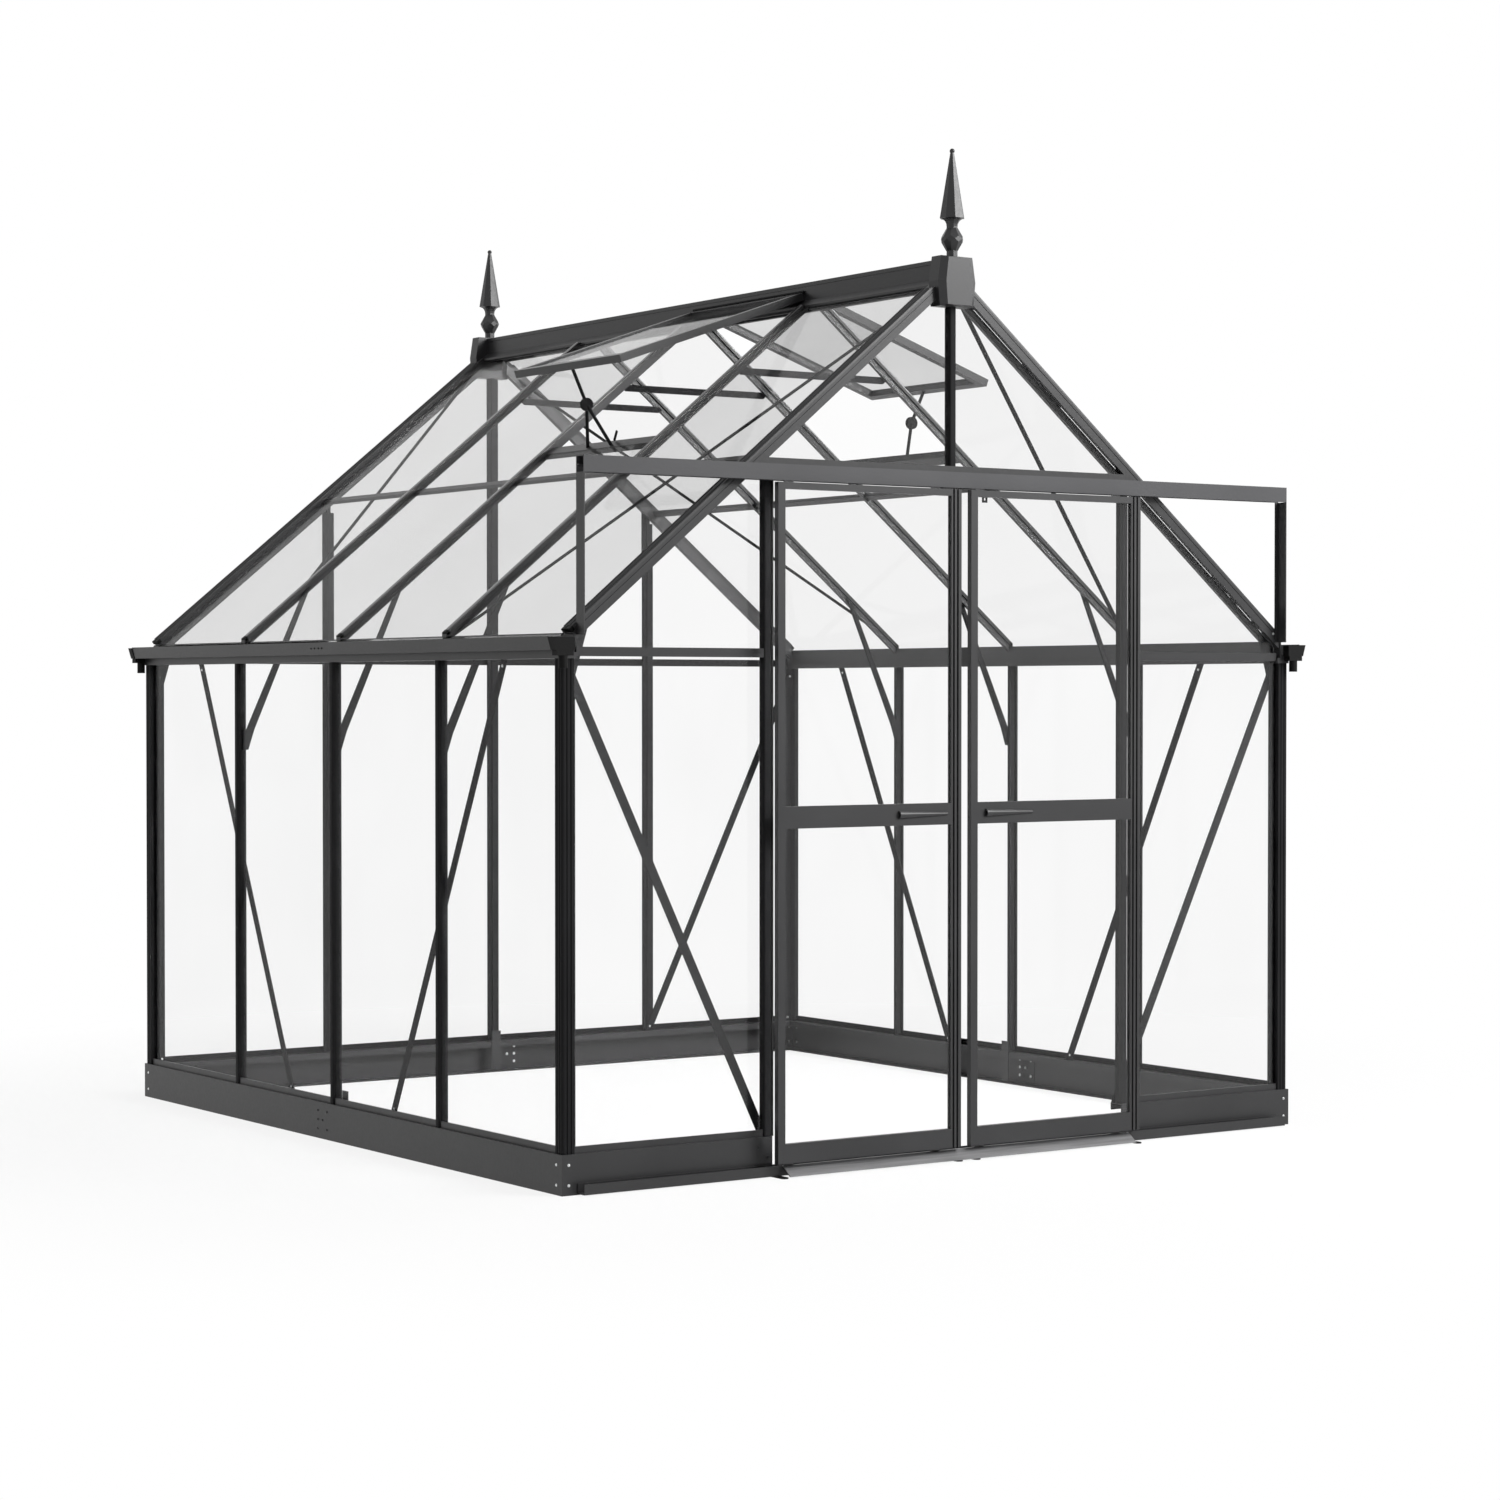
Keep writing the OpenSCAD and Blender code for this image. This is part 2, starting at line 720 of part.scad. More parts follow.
// ridge beam, open below, with a lip along its top and a flange over the glass of each slope
module ridge_beam() {
    end_y = cap_end_y - cap_end_l;
    w = ridge_w / 2;
    lip = ridge_top - ridge_lip_h;
    flange_d = rafter_cap_t - ridge_flange_t;
    color(frame_grey) along_y(-end_y, end_y, mirrored([
        [w, ridge_top], [w, lip], [w - ridge_groove, lip], [w - ridge_groove, lip - ridge_groove],
        [w, lip - ridge_groove], [w, slope_z(w, flange_d)], [flange_x, slope_z(flange_x, flange_d)],
        [flange_x, slope_z(flange_x, rafter_cap_t)], [w, slope_z(w, rafter_cap_t)], [w, ridge_low],
        [w - ridge_wall, ridge_low], [w - ridge_wall, ridge_top - ridge_wall]
    ]));
}

// six-sided outline of a ridge end cap about a height
function cap_outline(z) = mirrored([
    [cap_end_top_w / 2, z + cap_end_h / 2], [cap_end_w / 2, z], [cap_end_low_w / 2, z - cap_end_h / 2]
]);

// straight part of the rear end cap of the ridge
module ridge_cap_body() {
    along_y(cap_end_y - cap_end_l, cap_end_y - cap_end_taper, cap_outline(cap_end_top - cap_end_h / 2));
}

module ridge_cap() {
    ridge_cap_body();
    translate([0, cap_end_y - cap_end_taper, cap_end_top - cap_end_h / 2]) rotate([90, 0, 180])
        linear_extrude(cap_end_taper, scale = [cap_end_share, 1 - 2 * cap_end_bevel / cap_end_h])
            polygon(cap_outline(0));
}

module ridge_caps() {
    color(frame_grey) both_ends() ridge_cap();
}

// eight-sided finial: shaft, ball of diamond facets, coved neck, spike and round tip
module finial() {
    corner = 1 / cos(22.5);
    shaft = finial_shaft / 2 * corner;
    spike = finial_spike / 2;
    ball = finial_ball / 2;
    cove = [for (a = [0 : 18 : 90]) [
        shaft + (spike - shaft) * (1 - cos(a)),
        finial_neck_z + (finial_spike_z - finial_neck_z) * sin(a)
    ]];
    translate([0, cap_end_y - finial_in, cap_end_top]) rotate(22.5) {
        rotate_extrude($fn = 8) polygon(concat(
            [[0, 0], [shaft, 0]], cove, [[finial_tip / 3, finial_tip_z], [0, finial_tip_z]]
        ));
        translate([0, 0, finial_ball_z]) intersection() {
            cylinder(r = ball, h = finial_ball, center = true, $fn = 8);
            rotate(22.5) {
                cylinder(r1 = ball * corner, r2 = shaft, h = ball, $fn = 8);
                mirror([0, 0, 1]) cylinder(r1 = ball * corner, r2 = shaft, h = ball, $fn = 8);
            }
        }
        translate([0, 0, finial_tip_z]) sphere(d = finial_tip, $fn = 16);
    }
}

module finials() {
    color(frame_grey) both_ends() finial();
}

// bar under the lower edge of the right vent
module vent_sill() {
    on_slope(sill_x - sill_w, sill_x, rafter_cap_t, rafter_cap_t + sill_d,
        vent_bay[0] + web_t / 2, vent_bay[1] - web_t / 2);
}

// purlins between the rafters, under the glass, and the two sills under the vents
module purlins() {
    color(frame_grey) both_sides() {
        for (i = [0 : len(roof_edges) - 2])
            on_slope(purlin_x - purlin_w / 2, purlin_x + purlin_w / 2, glass_d, glass_d + purlin_d,
                bay_low(roof_edges, i, web_t / 2), bay_high(roof_edges, i, web_t / 2));
        vent_sill();
    }
}

// the side of a rafter row that carries its ties faces the middle of the house
function tie_side(y) = y > 0 ? y - web_t / 2 - tie_t : y + web_t / 2;

module collar_ties() {
    x = slope_x(tie_z, rafter_d) + tie_lap;
    color(frame_grey) for (y = bar_rows)
        along_y(tie_side(y), tie_side(y) + tie_t, mirrored([
            [x - tie_point, tie_z + tie_d / 2], [x, tie_z], [x - tie_point, tie_z - tie_d / 2]
        ]));
}

// strut from the web of a stud up to the web of its rafter
module knee_brace(y) {
    z0 = eaves_z - knee_low;
    z1 = z0 + knee_foot_h;
    head_d = glass_d + glass_gap;
    x0 = knee_x - knee_w / 2;
    x1 = knee_x + knee_w / 2;
    along_y(tie_side(y), tie_side(y) + tie_t, [
        [web_in_x + knee_lap, z0], [web_in_x + knee_lap, z1], [web_in_x, z1],
        [x1, slope_z(x1, head_d)], [x0, slope_z(x0, head_d)],
        [web_in_x - knee_w, z1], [web_in_x - brace_t, z0]
    ]);
}

module knee_braces() {
    color(frame_grey) both_sides() for (y = bar_rows) knee_brace(y);
}

// flat bar from the ridge at a gable to the eaves at the first rafter
module roof_brace(head_x, foot_dist) {
    u0 = head_x * drop;
    u1 = (foot_x - foot_dist) * drop;
    half = roof_brace_w * norm([u1 - u0, gable_in - bay]) / (gable_in - bay) / 2;
    translate([0, 0, roof_z]) rotate([0, pitch, 0])
        translate([0, 0, -rafter_d]) linear_extrude(brace_t) polygon([
            [u0 - half, gable_in], [u0 + half, gable_in],
            [u1 + half, bay + web_t / 2], [u1 - half, bay + web_t / 2]
        ]);
}

module roof_braces() {
    color(frame_grey) both_sides() {
        mirror([0, 1, 0]) roof_brace(roof_brace_x, roof_brace_in);
        roof_brace(rear_brace_x, rear_brace_in);
    }
}

// flat bar across two bays of a side wall, from the eaves to the base
module wall_brace() {
    top_y = 1.5 * bay;
    low_y = 0.5 * bay;
    half = brace_w * norm([top_y - low_y, eaves_z - base_h]) / (eaves_z - base_h) / 2;
    along_x(web_in_x - brace_t, web_in_x, [
        [low_y - half, base_h], [low_y + half, base_h], [top_y + half, eaves_z], [top_y - half, eaves_z]
    ]);
}

module wall_braces() {
    color(frame_grey) both_sides() both_ends() wall_brace();
}

// flat bar across one bay of a gable wall, from the corner down to the next upright
module gable_brace(bar_x) {
    low = bar_x - gable_brace_low;
    high = half_w - gable_brace_in;
    top = eaves_z - gable_brace_gap;
    half = brace_w * norm([high - low, top - base_h]) / (top - base_h) / 2;
    along_y(web_in_y - brace_t, web_in_y, [
        [low - half, base_h], [low + half, base_h], [high + half, top], [high - half, top]
    ]);
}

module gable_braces() {
    color(frame_grey) {
        both_sides() mirror([0, 1, 0]) gable_brace(jamb_x);
        gable_brace(bay);
    }
}

// plate that ties the corner post, the eaves and the gable rafter together
module corner_gusset() {
    post_x = post_in_x + gusset_lap;
    plate_x = inner_x - glass_gap;
    head_x = plate_x - gusset_reach;
    low = eaves_z - gusset_d;
    along_y(web_in_y, post_in_y, [
        [post_x, low], [lip_x - gusset_in, low + gusset_rise], [head_x, under_z(head_x)],
        [plate_x, under_z(plate_x)], [plate_x, eaves_z - glass_gap], [post_x, eaves_z - glass_gap]
    ]);
}

module corner_gussets() {
    color(frame_grey) both_sides() both_ends() corner_gusset();
}

// flat bar across a gable wall at the height of the eaves
module eaves_bar(x0, x1) {
    z = eaves_z + gable_bar_up;
    block([x0, glass_y, z], [x1, glass_y + gable_bar_t, z + gable_bar_h]);
}

// header over the doorway, cut to the underside of the rafters at both ends
module door_header() {
    color(frame_grey) along_y(-wall_y, -web_in_y, mirrored([
        [slope_x(header_top, gable_rafter_d), header_top], [slope_x(header_z, gable_rafter_d), header_z]
    ]));
}

module gable_bars() {
    color(frame_grey) both_sides() {
        mirror([0, 1, 0]) eaves_bar(jamb_out, inner_x);
        eaves_bar(cap_w / 2, bay - cap_w / 2);
        eaves_bar(bay + cap_w / 2, inner_x);
    }
    door_header();
}

module king_post() {
    color(frame_grey) mirror([0, 1, 0]) gable_stud(0, cap_w, header_top, cap_end_low);
}

// channel, open below, with a ledge on which the hanger wheels run
module top_track() {
    back = rail_back - track_wall;
    front = rail_front + track_wall;
    color(frame_grey) along_x(-track_x, track_x, [
        [rail_front, track_z], [rail_front, track_top], [rail_back, track_top], [rail_back, track_z],
        [back, track_z], [back, ledge_z - track_wall], [back - ledge_w, ledge_z - track_wall],
        [back - ledge_w, ledge_z], [back, ledge_z], [back, track_top - track_wall],
        [front, track_top - track_wall], [front, track_z]
    ]);
}

// angle that stands on the face of the gable rafter and carries an end of the top track
module track_posts() {
    back = rail_back - track_wall;
    color(frame_grey) both_sides() upright(slope_z(track_x) - track_post_lap, track_z, [
        [track_x, rail_back], [track_x - track_post_w, rail_back], [track_x - track_post_w, back],
        [track_x - track_wall, back], [track_x - track_wall, rail_front], [track_x, rail_front]
    ]);
}

// channel, open above, that guides the foot of the leaves
module bottom_track() {
    floor_top = sill_low + track_wall;
    back = -half_l - track_wall;
    front = rail_front + track_wall;
    color(frame_grey) along_x(-track_x, track_x, [
        [rail_front, sill_low], [-half_l, sill_low], [-half_l, sill_top], [back, sill_top],
        [back, floor_top], [front, floor_top], [front, sill_top], [rail_front, sill_top]
    ]);
}

// bent sheet that hooks on the front of the bottom track and slopes down to the feet
module threshold_ramp() {
    bend = rail_front - ramp_lip;
    low = sill_low + ramp_gap;
    fall = sill_top - low;
    run = ramp_t * norm([bend - ramp_front, fall]) / fall;
    under = sill_top - ramp_t;
    color(bare_metal) along_x(-ramp_x, ramp_x, [
        [rail_front, sill_top], [bend, sill_top], [ramp_front, low], [ramp_front + run, low],
        [ramp_front + run + (bend - ramp_front) * (fall - ramp_t) / fall, under], [rail_front, under]
    ]);
}

// tongues under the bottom track, whose round fronts show below the edge of the ramp
module track_feet() {
    tip = ramp_front + foot_dia / 2;
    color(plastic_black) both_sides() for (x = [right_x + foot_edge, right_x + leaf_w - foot_edge]) {
        translate([x, tip, 0]) cylinder(d = foot_dia, h = sill_low);
        block([x - foot_dia / 2, tip, 0], [x + foot_dia / 2, rail_front + foot_dia, sill_low]);
    }
}

module side_glass() {
    edges = [-post_in_y, -bay, 0, bay, post_in_y];
    color(glass_clear) both_sides() for (i = [0 : len(edges) - 2])
        block([glass_x - glass_t, bay_low(edges, i, web_t / 2) + glass_gap, base_h],
            [glass_x, bay_high(edges, i, web_t / 2) - glass_gap, eaves_z]);
}

// sheet of a gable wall from its outline in X and Z
module gable_sheet(outline) {
    along_y(glass_y - glass_t, glass_y, outline);
}

// sheet between an upright and the corner post, notched round the eaves plate, up to the rafter
module corner_sheet(bar_x) {
    x0 = bar_x + web_t / 2 + glass_gap;
    x1 = inner_x - glass_gap;
    x2 = post_in_x - glass_gap;
    gable_sheet([
        [x0, base_h], [x2, base_h], [x2, eaves_z - glass_gap], [x1, eaves_z - glass_gap],
        [x1, under_z(x1) - glass_gap], [x0, under_z(x0) - glass_gap]
    ]);
}

module front_glass() {
    x0 = web_t / 2 + glass_gap;
    top = cap_end_low - glass_gap;
    rafter_d1 = gable_rafter_d + glass_gap;
    color(glass_clear) mirror([0, 1, 0]) both_sides() {
        difference() {
            corner_sheet(jamb_x);
            block([0, 0, header_z - glass_gap], [half_w, half_l, roof_z]);
        }
        gable_sheet([
            [x0, header_top], [slope_x(header_top, rafter_d1), header_top],
            [slope_x(top, rafter_d1), top], [x0, top]
        ]);
    }
}

module rear_glass() {
    x0 = web_t / 2 + glass_gap;
    x1 = bay - web_t / 2 - glass_gap;
    top = cap_end_low - glass_gap;
    color(glass_clear) both_sides() {
        corner_sheet(bay);
        gable_sheet([
            [x0, base_h], [x1, base_h], [x1, under_z(x1) - glass_gap],
            [slope_x(top, gable_rafter_d + glass_gap), top], [x0, top]
        ]);
    }
}

// roof sheets; the one in the vent's bay starts below the vent sill
module roof_glass() {
    color(glass_clear) both_sides() for (i = [0 : len(roof_edges) - 2])
        on_slope((roof_edges[i] == vent_bay[0] ? sill_x : ridge_w / 2) + glass_gap, foot_x + eaves_over,
            rafter_cap_t, glass_d, bay_low(roof_edges, i, web_t / 2) + glass_gap,
            bay_high(roof_edges, i, web_t / 2) - glass_gap);
}

// puts the right vent, laid out flat from its hinge, in its place
module vent_place() {
    translate([vent_x, 0, vent_z]) rotate([0, vent_angle, 0]) translate([0, 0, -vent_t]) children();
}

module vent_frame() {
    vent_place() difference() {
        block([0, vent_y[0], 0], [vent_l, vent_y[1], vent_t]);
        block([vent_bar, vent_y[0] + vent_bar, -past],
            [vent_l - vent_bar, vent_y[1] - vent_bar, vent_t + past]);
    }
}

module vent_frames() {
    color(frame_grey) both_sides() vent_frame();
}

module vent_glass() {
    top = vent_t - vent_glass_in;
    color(glass_clear) both_sides() vent_place()
        block([vent_bar, vent_y[0] + vent_bar, top - glass_t],
            [vent_l - vent_bar, vent_y[1] - vent_bar, top]);
}

// opener that stands with one or two feet on the vent sill and holds the vent up
module vent_opener(feet) {
    mid_y = (vent_y[0] + vent_y[1]) / 2;
    hub_x = sill_x + opener_out;
    hub = [hub_x, mid_y, slope_z(hub_x) + opener_up];
    head_l = vent_l - opener_head;
    head = [vent_x + head_l * cos(vent_angle), mid_y, vent_z - head_l * sin(vent_angle) - vent_t / 2];
    foot_at = sill_x - sill_w / 2;
    difference() {
        union() {
            for (y = feet)
                rod([foot_at, mid_y + y, slope_z(foot_at, rafter_cap_t + opener_arm / 2)], hub, opener_arm);
            rod(hub, head, opener_arm);
            translate(hub + [0, opener_disc_t / 2, 0]) rotate([90, 0, 0])
                cylinder(d = opener_disc, h = opener_disc_t);
        }
        vent_sill();
        vent_frame();
    }
}

module vent_openers() {
    color(frame_grey) {
        vent_opener([-opener_foot]);
        mirror([1, 0, 0]) vent_opener([-opener_foot, opener_prop]);
    }
}

// pieces of a leaf from its left edge; both leaves are the same way round
module leaf_stiles(x0) {
    x1 = x0 + leaf_w;
    g0 = x1 - wide_stile_w + stile_edge;
    g1 = g0 + stile_groove + stile_rib;
    groove_y = leaf_front + stile_groove_d;
    block([x0, leaf_front, leaf_z], [x0 + stile_w, leaf_back, leaf_top]);
    upright(leaf_z, leaf_top, [
        [x1 - wide_stile_w, leaf_back], [x1 - wide_stile_w, leaf_front],
        [g0, leaf_front], [g0, groove_y], [g0 + stile_groove, groove_y], [g0 + stile_groove, leaf_front],
        [g1, leaf_front], [g1, groove_y], [g1 + stile_groove, groove_y], [g1 + stile_groove, leaf_front],
        [x1, leaf_front], [x1, leaf_back]
    ]);
}

module leaf_rails(x0) {
    for (r = [[leaf_z, bottom_rail_h], [mid_rail_z, mid_rail_h], [leaf_top - top_rail_h, top_rail_h]])
        block([x0 + stile_w, leaf_front, r[0]], [x0 + leaf_w - wide_stile_w, leaf_back, r[0] + r[1]]);
}

module leaf_glass(x0) {
    y0 = (leaf_front + leaf_back - glass_t) / 2;
    for (p = [[leaf_z + bottom_rail_h, mid_rail_z], [mid_rail_z + mid_rail_h, leaf_top - top_rail_h]])
        block([x0 + stile_w, y0, p[0]], [x0 + leaf_w - wide_stile_w, y0 + glass_t, p[1]]);
}

// scoop pull from its open end: half a hollow cone on the face of the middle rail
module leaf_handle(x0) {
    taper = (handle_w - handle_tip) / handle_l;
    open_dia = handle_w - 2 * handle_wall;
    translate([x0, leaf_front, mid_rail_z + mid_rail_h / 2]) rotate([0, 90, 0]) difference() {
        cylinder(d1 = handle_w, d2 = handle_tip, h = handle_l);
        translate([0, 0, -past])
            cylinder(d1 = open_dia + taper * past, d2 = open_dia - taper * handle_hollow,
                h = handle_hollow + past);
        block([-handle_w, 0, -past], [handle_w, handle_w, handle_l + past]);
    }
}

// hanger with a wheel over the ledge of the top track, and guide in the bottom track below it
module leaf_hanger(x) {
    plate = leaf_back + hanger_set;
    wheel_z = ledge_z + wheel_gap + wheel_dia / 2;
    arm_z = leaf_z + guide_up;
    guide_z = sill_low + track_wall + guide_gap;
    along_x(x - hanger_w / 2, x + hanger_w / 2, [
        [leaf_back, leaf_top - hanger_arm], [leaf_back, leaf_top], [plate, leaf_top],
        [plate, wheel_z + wheel_dia / 3], [hanger_back, wheel_z + wheel_dia / 3],
        [hanger_back, leaf_top - hanger_arm]
    ]);
    rod([x, hanger_back - hanger_t / 2, wheel_z], [x, rail_back - track_wall - wheel_side, wheel_z],
        wheel_dia);
    along_x(x - hanger_w / 2, x + hanger_w / 2, [
        [leaf_back, arm_z], [leaf_back, arm_z + hanger_arm], [hanger_back, arm_z + hanger_arm],
        [hanger_back, guide_z], [plate, guide_z], [plate, arm_z]
    ]);
}

module leaf_hangers(x0) {
    for (x = [x0 + hanger_in, x0 + leaf_w - hanger_in]) leaf_hanger(x);
}

module left_stiles() { color(frame_grey) leaf_stiles(left_x); }
module left_rails() { color(frame_grey) leaf_rails(left_x); }
module left_glass() { color(glass_clear) leaf_glass(left_x); }
module left_handle() { color(frame_grey) leaf_handle(left_x + leaf_w - handle_in - handle_l); }
module left_hangers() { color(bare_metal) leaf_hangers(left_x); }
module right_stiles() { color(frame_grey) leaf_stiles(right_x); }
module right_rails() { color(frame_grey) leaf_rails(right_x); }
module right_glass() { color(glass_clear) leaf_glass(right_x); }
module right_handle() { color(frame_grey) leaf_handle(right_x + handle_in); }
module right_hangers() { color(bare_metal) leaf_hangers(right_x); }

centred() base_sides();
centred() base_rear();
centred() base_front();
centred() corner_posts();
centred() side_studs();
centred() rear_posts();
centred() door_jambs();
centred() eaves_gutters();
centred() gutter_outlets();
centred() gable_rafters();
centred() rafters();
centred() ridge_beam();
centred() ridge_caps();
centred() finials();
centred() purlins();
centred() collar_ties();
centred() knee_braces();
centred() roof_braces();
centred() wall_braces();
centred() gable_braces();
centred() corner_gussets();
centred() gable_bars();
centred() king_post();
centred() top_track();
centred() track_posts();
centred() bottom_track();
centred() threshold_ramp();
centred() track_feet();
centred() side_glass();
centred() front_glass();
centred() rear_glass();
centred() roof_glass();
centred() vent_frames();
centred() vent_glass();
centred() vent_openers();
centred() left_stiles();
centred() left_rails();
centred() left_glass();
centred() left_handle();
centred() left_hangers();
centred() right_stiles();
centred() right_rails();
centred() right_glass();
centred() right_handle();
centred() right_hangers();
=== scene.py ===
import math
import bmesh
import bpy
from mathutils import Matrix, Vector


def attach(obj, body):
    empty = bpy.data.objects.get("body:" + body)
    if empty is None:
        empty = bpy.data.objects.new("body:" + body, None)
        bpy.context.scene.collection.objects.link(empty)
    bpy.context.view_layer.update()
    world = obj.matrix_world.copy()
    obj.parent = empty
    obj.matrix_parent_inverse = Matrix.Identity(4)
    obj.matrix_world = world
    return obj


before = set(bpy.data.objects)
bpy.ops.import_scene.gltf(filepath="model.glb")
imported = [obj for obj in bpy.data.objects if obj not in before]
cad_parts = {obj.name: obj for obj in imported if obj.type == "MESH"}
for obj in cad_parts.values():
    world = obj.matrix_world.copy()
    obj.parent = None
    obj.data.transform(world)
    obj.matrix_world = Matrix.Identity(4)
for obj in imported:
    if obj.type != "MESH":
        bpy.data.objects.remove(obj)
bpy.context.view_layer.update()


# Studio: the house stands on a pale floor in front of white, as in a catalogue picture.
# One large lamp from the front right lights the front; the left side stays dark.
# The camera is a long lens at chest height, off the front left corner.
def linear(hex_colour):
    """Linear RGBA of an sRGB hex colour."""
    parts = [int(hex_colour[i:i + 2], 16) / 255 for i in (1, 3, 5)]
    return [c / 12.92 if c <= 0.04045 else ((c + 0.055) / 1.055) ** 2.4 for c in parts] + [1.0]


def put(tree, kind, inputs=(), stops=(), **settings):
    """Adds one node: settings are its properties, inputs its sockets' values or what feeds them,
    and stops the places and colours along a colour ramp."""
    node = tree.nodes.new(kind)
    for name, value in settings.items():
        setattr(node, name, value)
    for name, value in dict(inputs).items():
        if isinstance(value, bpy.types.NodeSocket):
            tree.links.new(value, node.inputs[name])
        else:
            node.inputs[name].default_value = value
    for number, (place, colour) in enumerate(stops):
        node.color_ramp.elements[number].position = place
        node.color_ramp.elements[number].color = linear(colour)
    return node


def new_material(name):
    """A material with an empty node tree, that tree, and the object's coordinates."""
    material = bpy.data.materials.new(name)
    material.use_nodes = True
    tree = material.node_tree
    tree.nodes.clear()
    return material, tree, put(tree, "ShaderNodeTexCoord").outputs["Object"]


def seen_rays(tree):
    """1 for the rays that the eye follows: straight, mirrored or through glass."""
    ray = put(tree, "ShaderNodeLightPath")
    seen = ray.outputs["Is Camera Ray"]
    for kind in ("Is Glossy Ray", "Is Transmission Ray"):
        seen = put(tree, "ShaderNodeMath", {0: seen, 1: ray.outputs[kind]}, operation="MAXIMUM").outputs[0]
    return seen


scene = bpy.context.scene
scene.view_settings.view_transform = "Standard"

# the sky lights the house softly, and is plain white where the eye meets it
world = bpy.data.worlds.new("white_studio")
world.use_nodes = True
scene.world = world
sky = world.node_tree
sky.nodes.clear()
soft_sky = put(sky, "ShaderNodeBackground", {"Color": linear("#FFFFFF"), "Strength": 0.3})
white_sky = put(sky, "ShaderNodeBackground", {"Color": linear("#FFFFFF"), "Strength": 1.0})
both = put(sky, "ShaderNodeMixShader", {0: seen_rays(sky), 1: soft_sky.outputs[0], 2: white_sky.outputs[0]})
put(sky, "ShaderNodeOutputWorld", {"Surface": both.outputs[0]})


def set_up(name, data, place, facing):
    """Stands the camera or the lamp in the studio, turned to face a direction."""
    thing = bpy.data.objects.new(name, data)
    thing.location = place
    thing.rotation_euler = Vector(facing).to_track_quat("-Z", "Y").to_euler()
    scene.collection.objects.link(thing)
    return thing


long_lens = bpy.data.cameras.new("camera")
long_lens.sensor_width = 36.0
long_lens.lens = 79.73
scene.camera = set_up("camera", long_lens, (-5.6316, -8.4854, 1.2810), (0.56494, 0.82496, -0.01706))

soft_box = bpy.data.lights.new("key_lamp", "AREA")
soft_box.energy = 880.0
soft_box.size = 4.0
lamp_place = Vector((4.5, -6.5, 5.5))
house_centre = Vector((0, 0, 1.2))
set_up("key_lamp", soft_box, lamp_place, house_centre - lamp_place)

floor_half = 40.0
floor_mesh = bpy.data.meshes.new("floor")
corners = [(x * floor_half, y * floor_half, 0) for x, y in ((-1, -1), (1, -1), (1, 1), (-1, 1))]
floor_mesh.from_pydata(corners, [], [(0, 1, 2, 3)])
floor = bpy.data.objects.new("floor", floor_mesh)
scene.collection.objects.link(floor)

# pale matt floor: it takes a soft shadow near the house and goes over into the white further out
shade_near, shade_far, glow_near = 1.6, 3.6, 0.86
pale, tree, spot = new_material("pale_floor")
reach = put(tree, "ShaderNodeVectorMath", {0: spot}, operation="LENGTH")
fade = put(tree, "ShaderNodeMapRange", {
    "Value": reach.outputs["Value"], "From Min": shade_near, "From Max": shade_far,
    "To Min": glow_near, "To Max": 1.0}, interpolation_type="SMOOTHSTEP")
share = put(tree, "ShaderNodeMath", {0: seen_rays(tree), 1: fade.outputs["Result"]}, operation="MULTIPLY")
matt = put(tree, "ShaderNodeBsdfDiffuse", {"Color": linear("#F4F4F4")})
white = put(tree, "ShaderNodeEmission", {"Color": linear("#FFFFFF"), "Strength": 1.0})
mix = put(tree, "ShaderNodeMixShader", {0: share.outputs[0], 1: matt.outputs[0], 2: white.outputs[0]})
put(tree, "ShaderNodeOutputMaterial", {"Surface": mix.outputs[0]})
floor_mesh.materials.append(pale)


# Base: galvanised steel sheet folded to a channel and powder coated, standing on its lower edge.
# Its lengths are joined by splice plates at mid side, and bolted at the corners with bright
# zinc-plated bolts: a round head outside and a nut inside.
def coat(name, dark, pale_tone, specular, roughness):
    """Powder coat: fused grains leave a faint cloud of tone and a fine orange-peel skin."""
    material, tree, spot = new_material(name)
    # clouds of tone about 300 mm across, where the coat is thicker or thinner
    cloud = put(tree, "ShaderNodeTexNoise", {"Vector": spot, "Scale": 3.3, "Detail": 3.0})
    tone = put(tree, "ShaderNodeValToRGB", {"Fac": cloud.outputs["Fac"]}, ((0.3, dark), (0.7, pale_tone)))
    # real orange peel is 2 mm across, which is under a pixel here, so it is drawn 8 mm across
    peel = put(tree, "ShaderNodeTexNoise", {"Vector": spot, "Scale": 125.0, "Detail": 2.0})
    skin = put(tree, "ShaderNodeBump", {"Height": peel.outputs["Fac"], "Strength": 0.12, "Distance": 0.001})
    gloss = put(tree, "ShaderNodeMapRange", {
        "Value": peel.outputs["Fac"], "To Min": roughness - 0.08, "To Max": roughness + 0.08})
    shader = put(tree, "ShaderNodeBsdfPrincipled", {
        "Base Color": tone.outputs["Color"], "Roughness": gloss.outputs["Result"],
        "Specular IOR Level": specular, "Normal": skin.outputs["Normal"]})
    put(tree, "ShaderNodeOutputMaterial", {"Surface": shader.outputs[0]})
    return material


def dress(material, *names):
    """Gives CAD nodes a material."""
    for name in names:
        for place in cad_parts[name].material_slots:
            place.material = material


# satin charcoal over steel: dark, with a soft mirror of the pale floor on its upright faces
coated_steel = coat("satin_coated_steel", "#262627", "#2E2E2F", 0.38, 0.38)
dress(coated_steel, "base_sides", "base_rear", "base_front")

# bright zinc plate: pale grey metal with a fine blotchy spangle about 4 mm across
zinc, tree, spot = new_material("bright_zinc_plate")
spangle = put(tree, "ShaderNodeTexVoronoi", {"Vector": spot, "Scale": 250.0})
tone = put(tree, "ShaderNodeValToRGB", {"Fac": spangle.outputs["Color"]},
           ((0.0, "#D2D4D4"), (1.0, "#F0F1F1")))
shader = put(tree, "ShaderNodeBsdfPrincipled", {
    "Base Color": tone.outputs["Color"], "Metallic": 1.0, "Roughness": 0.32})
put(tree, "ShaderNodeOutputMaterial", {"Surface": shader.outputs[0]})


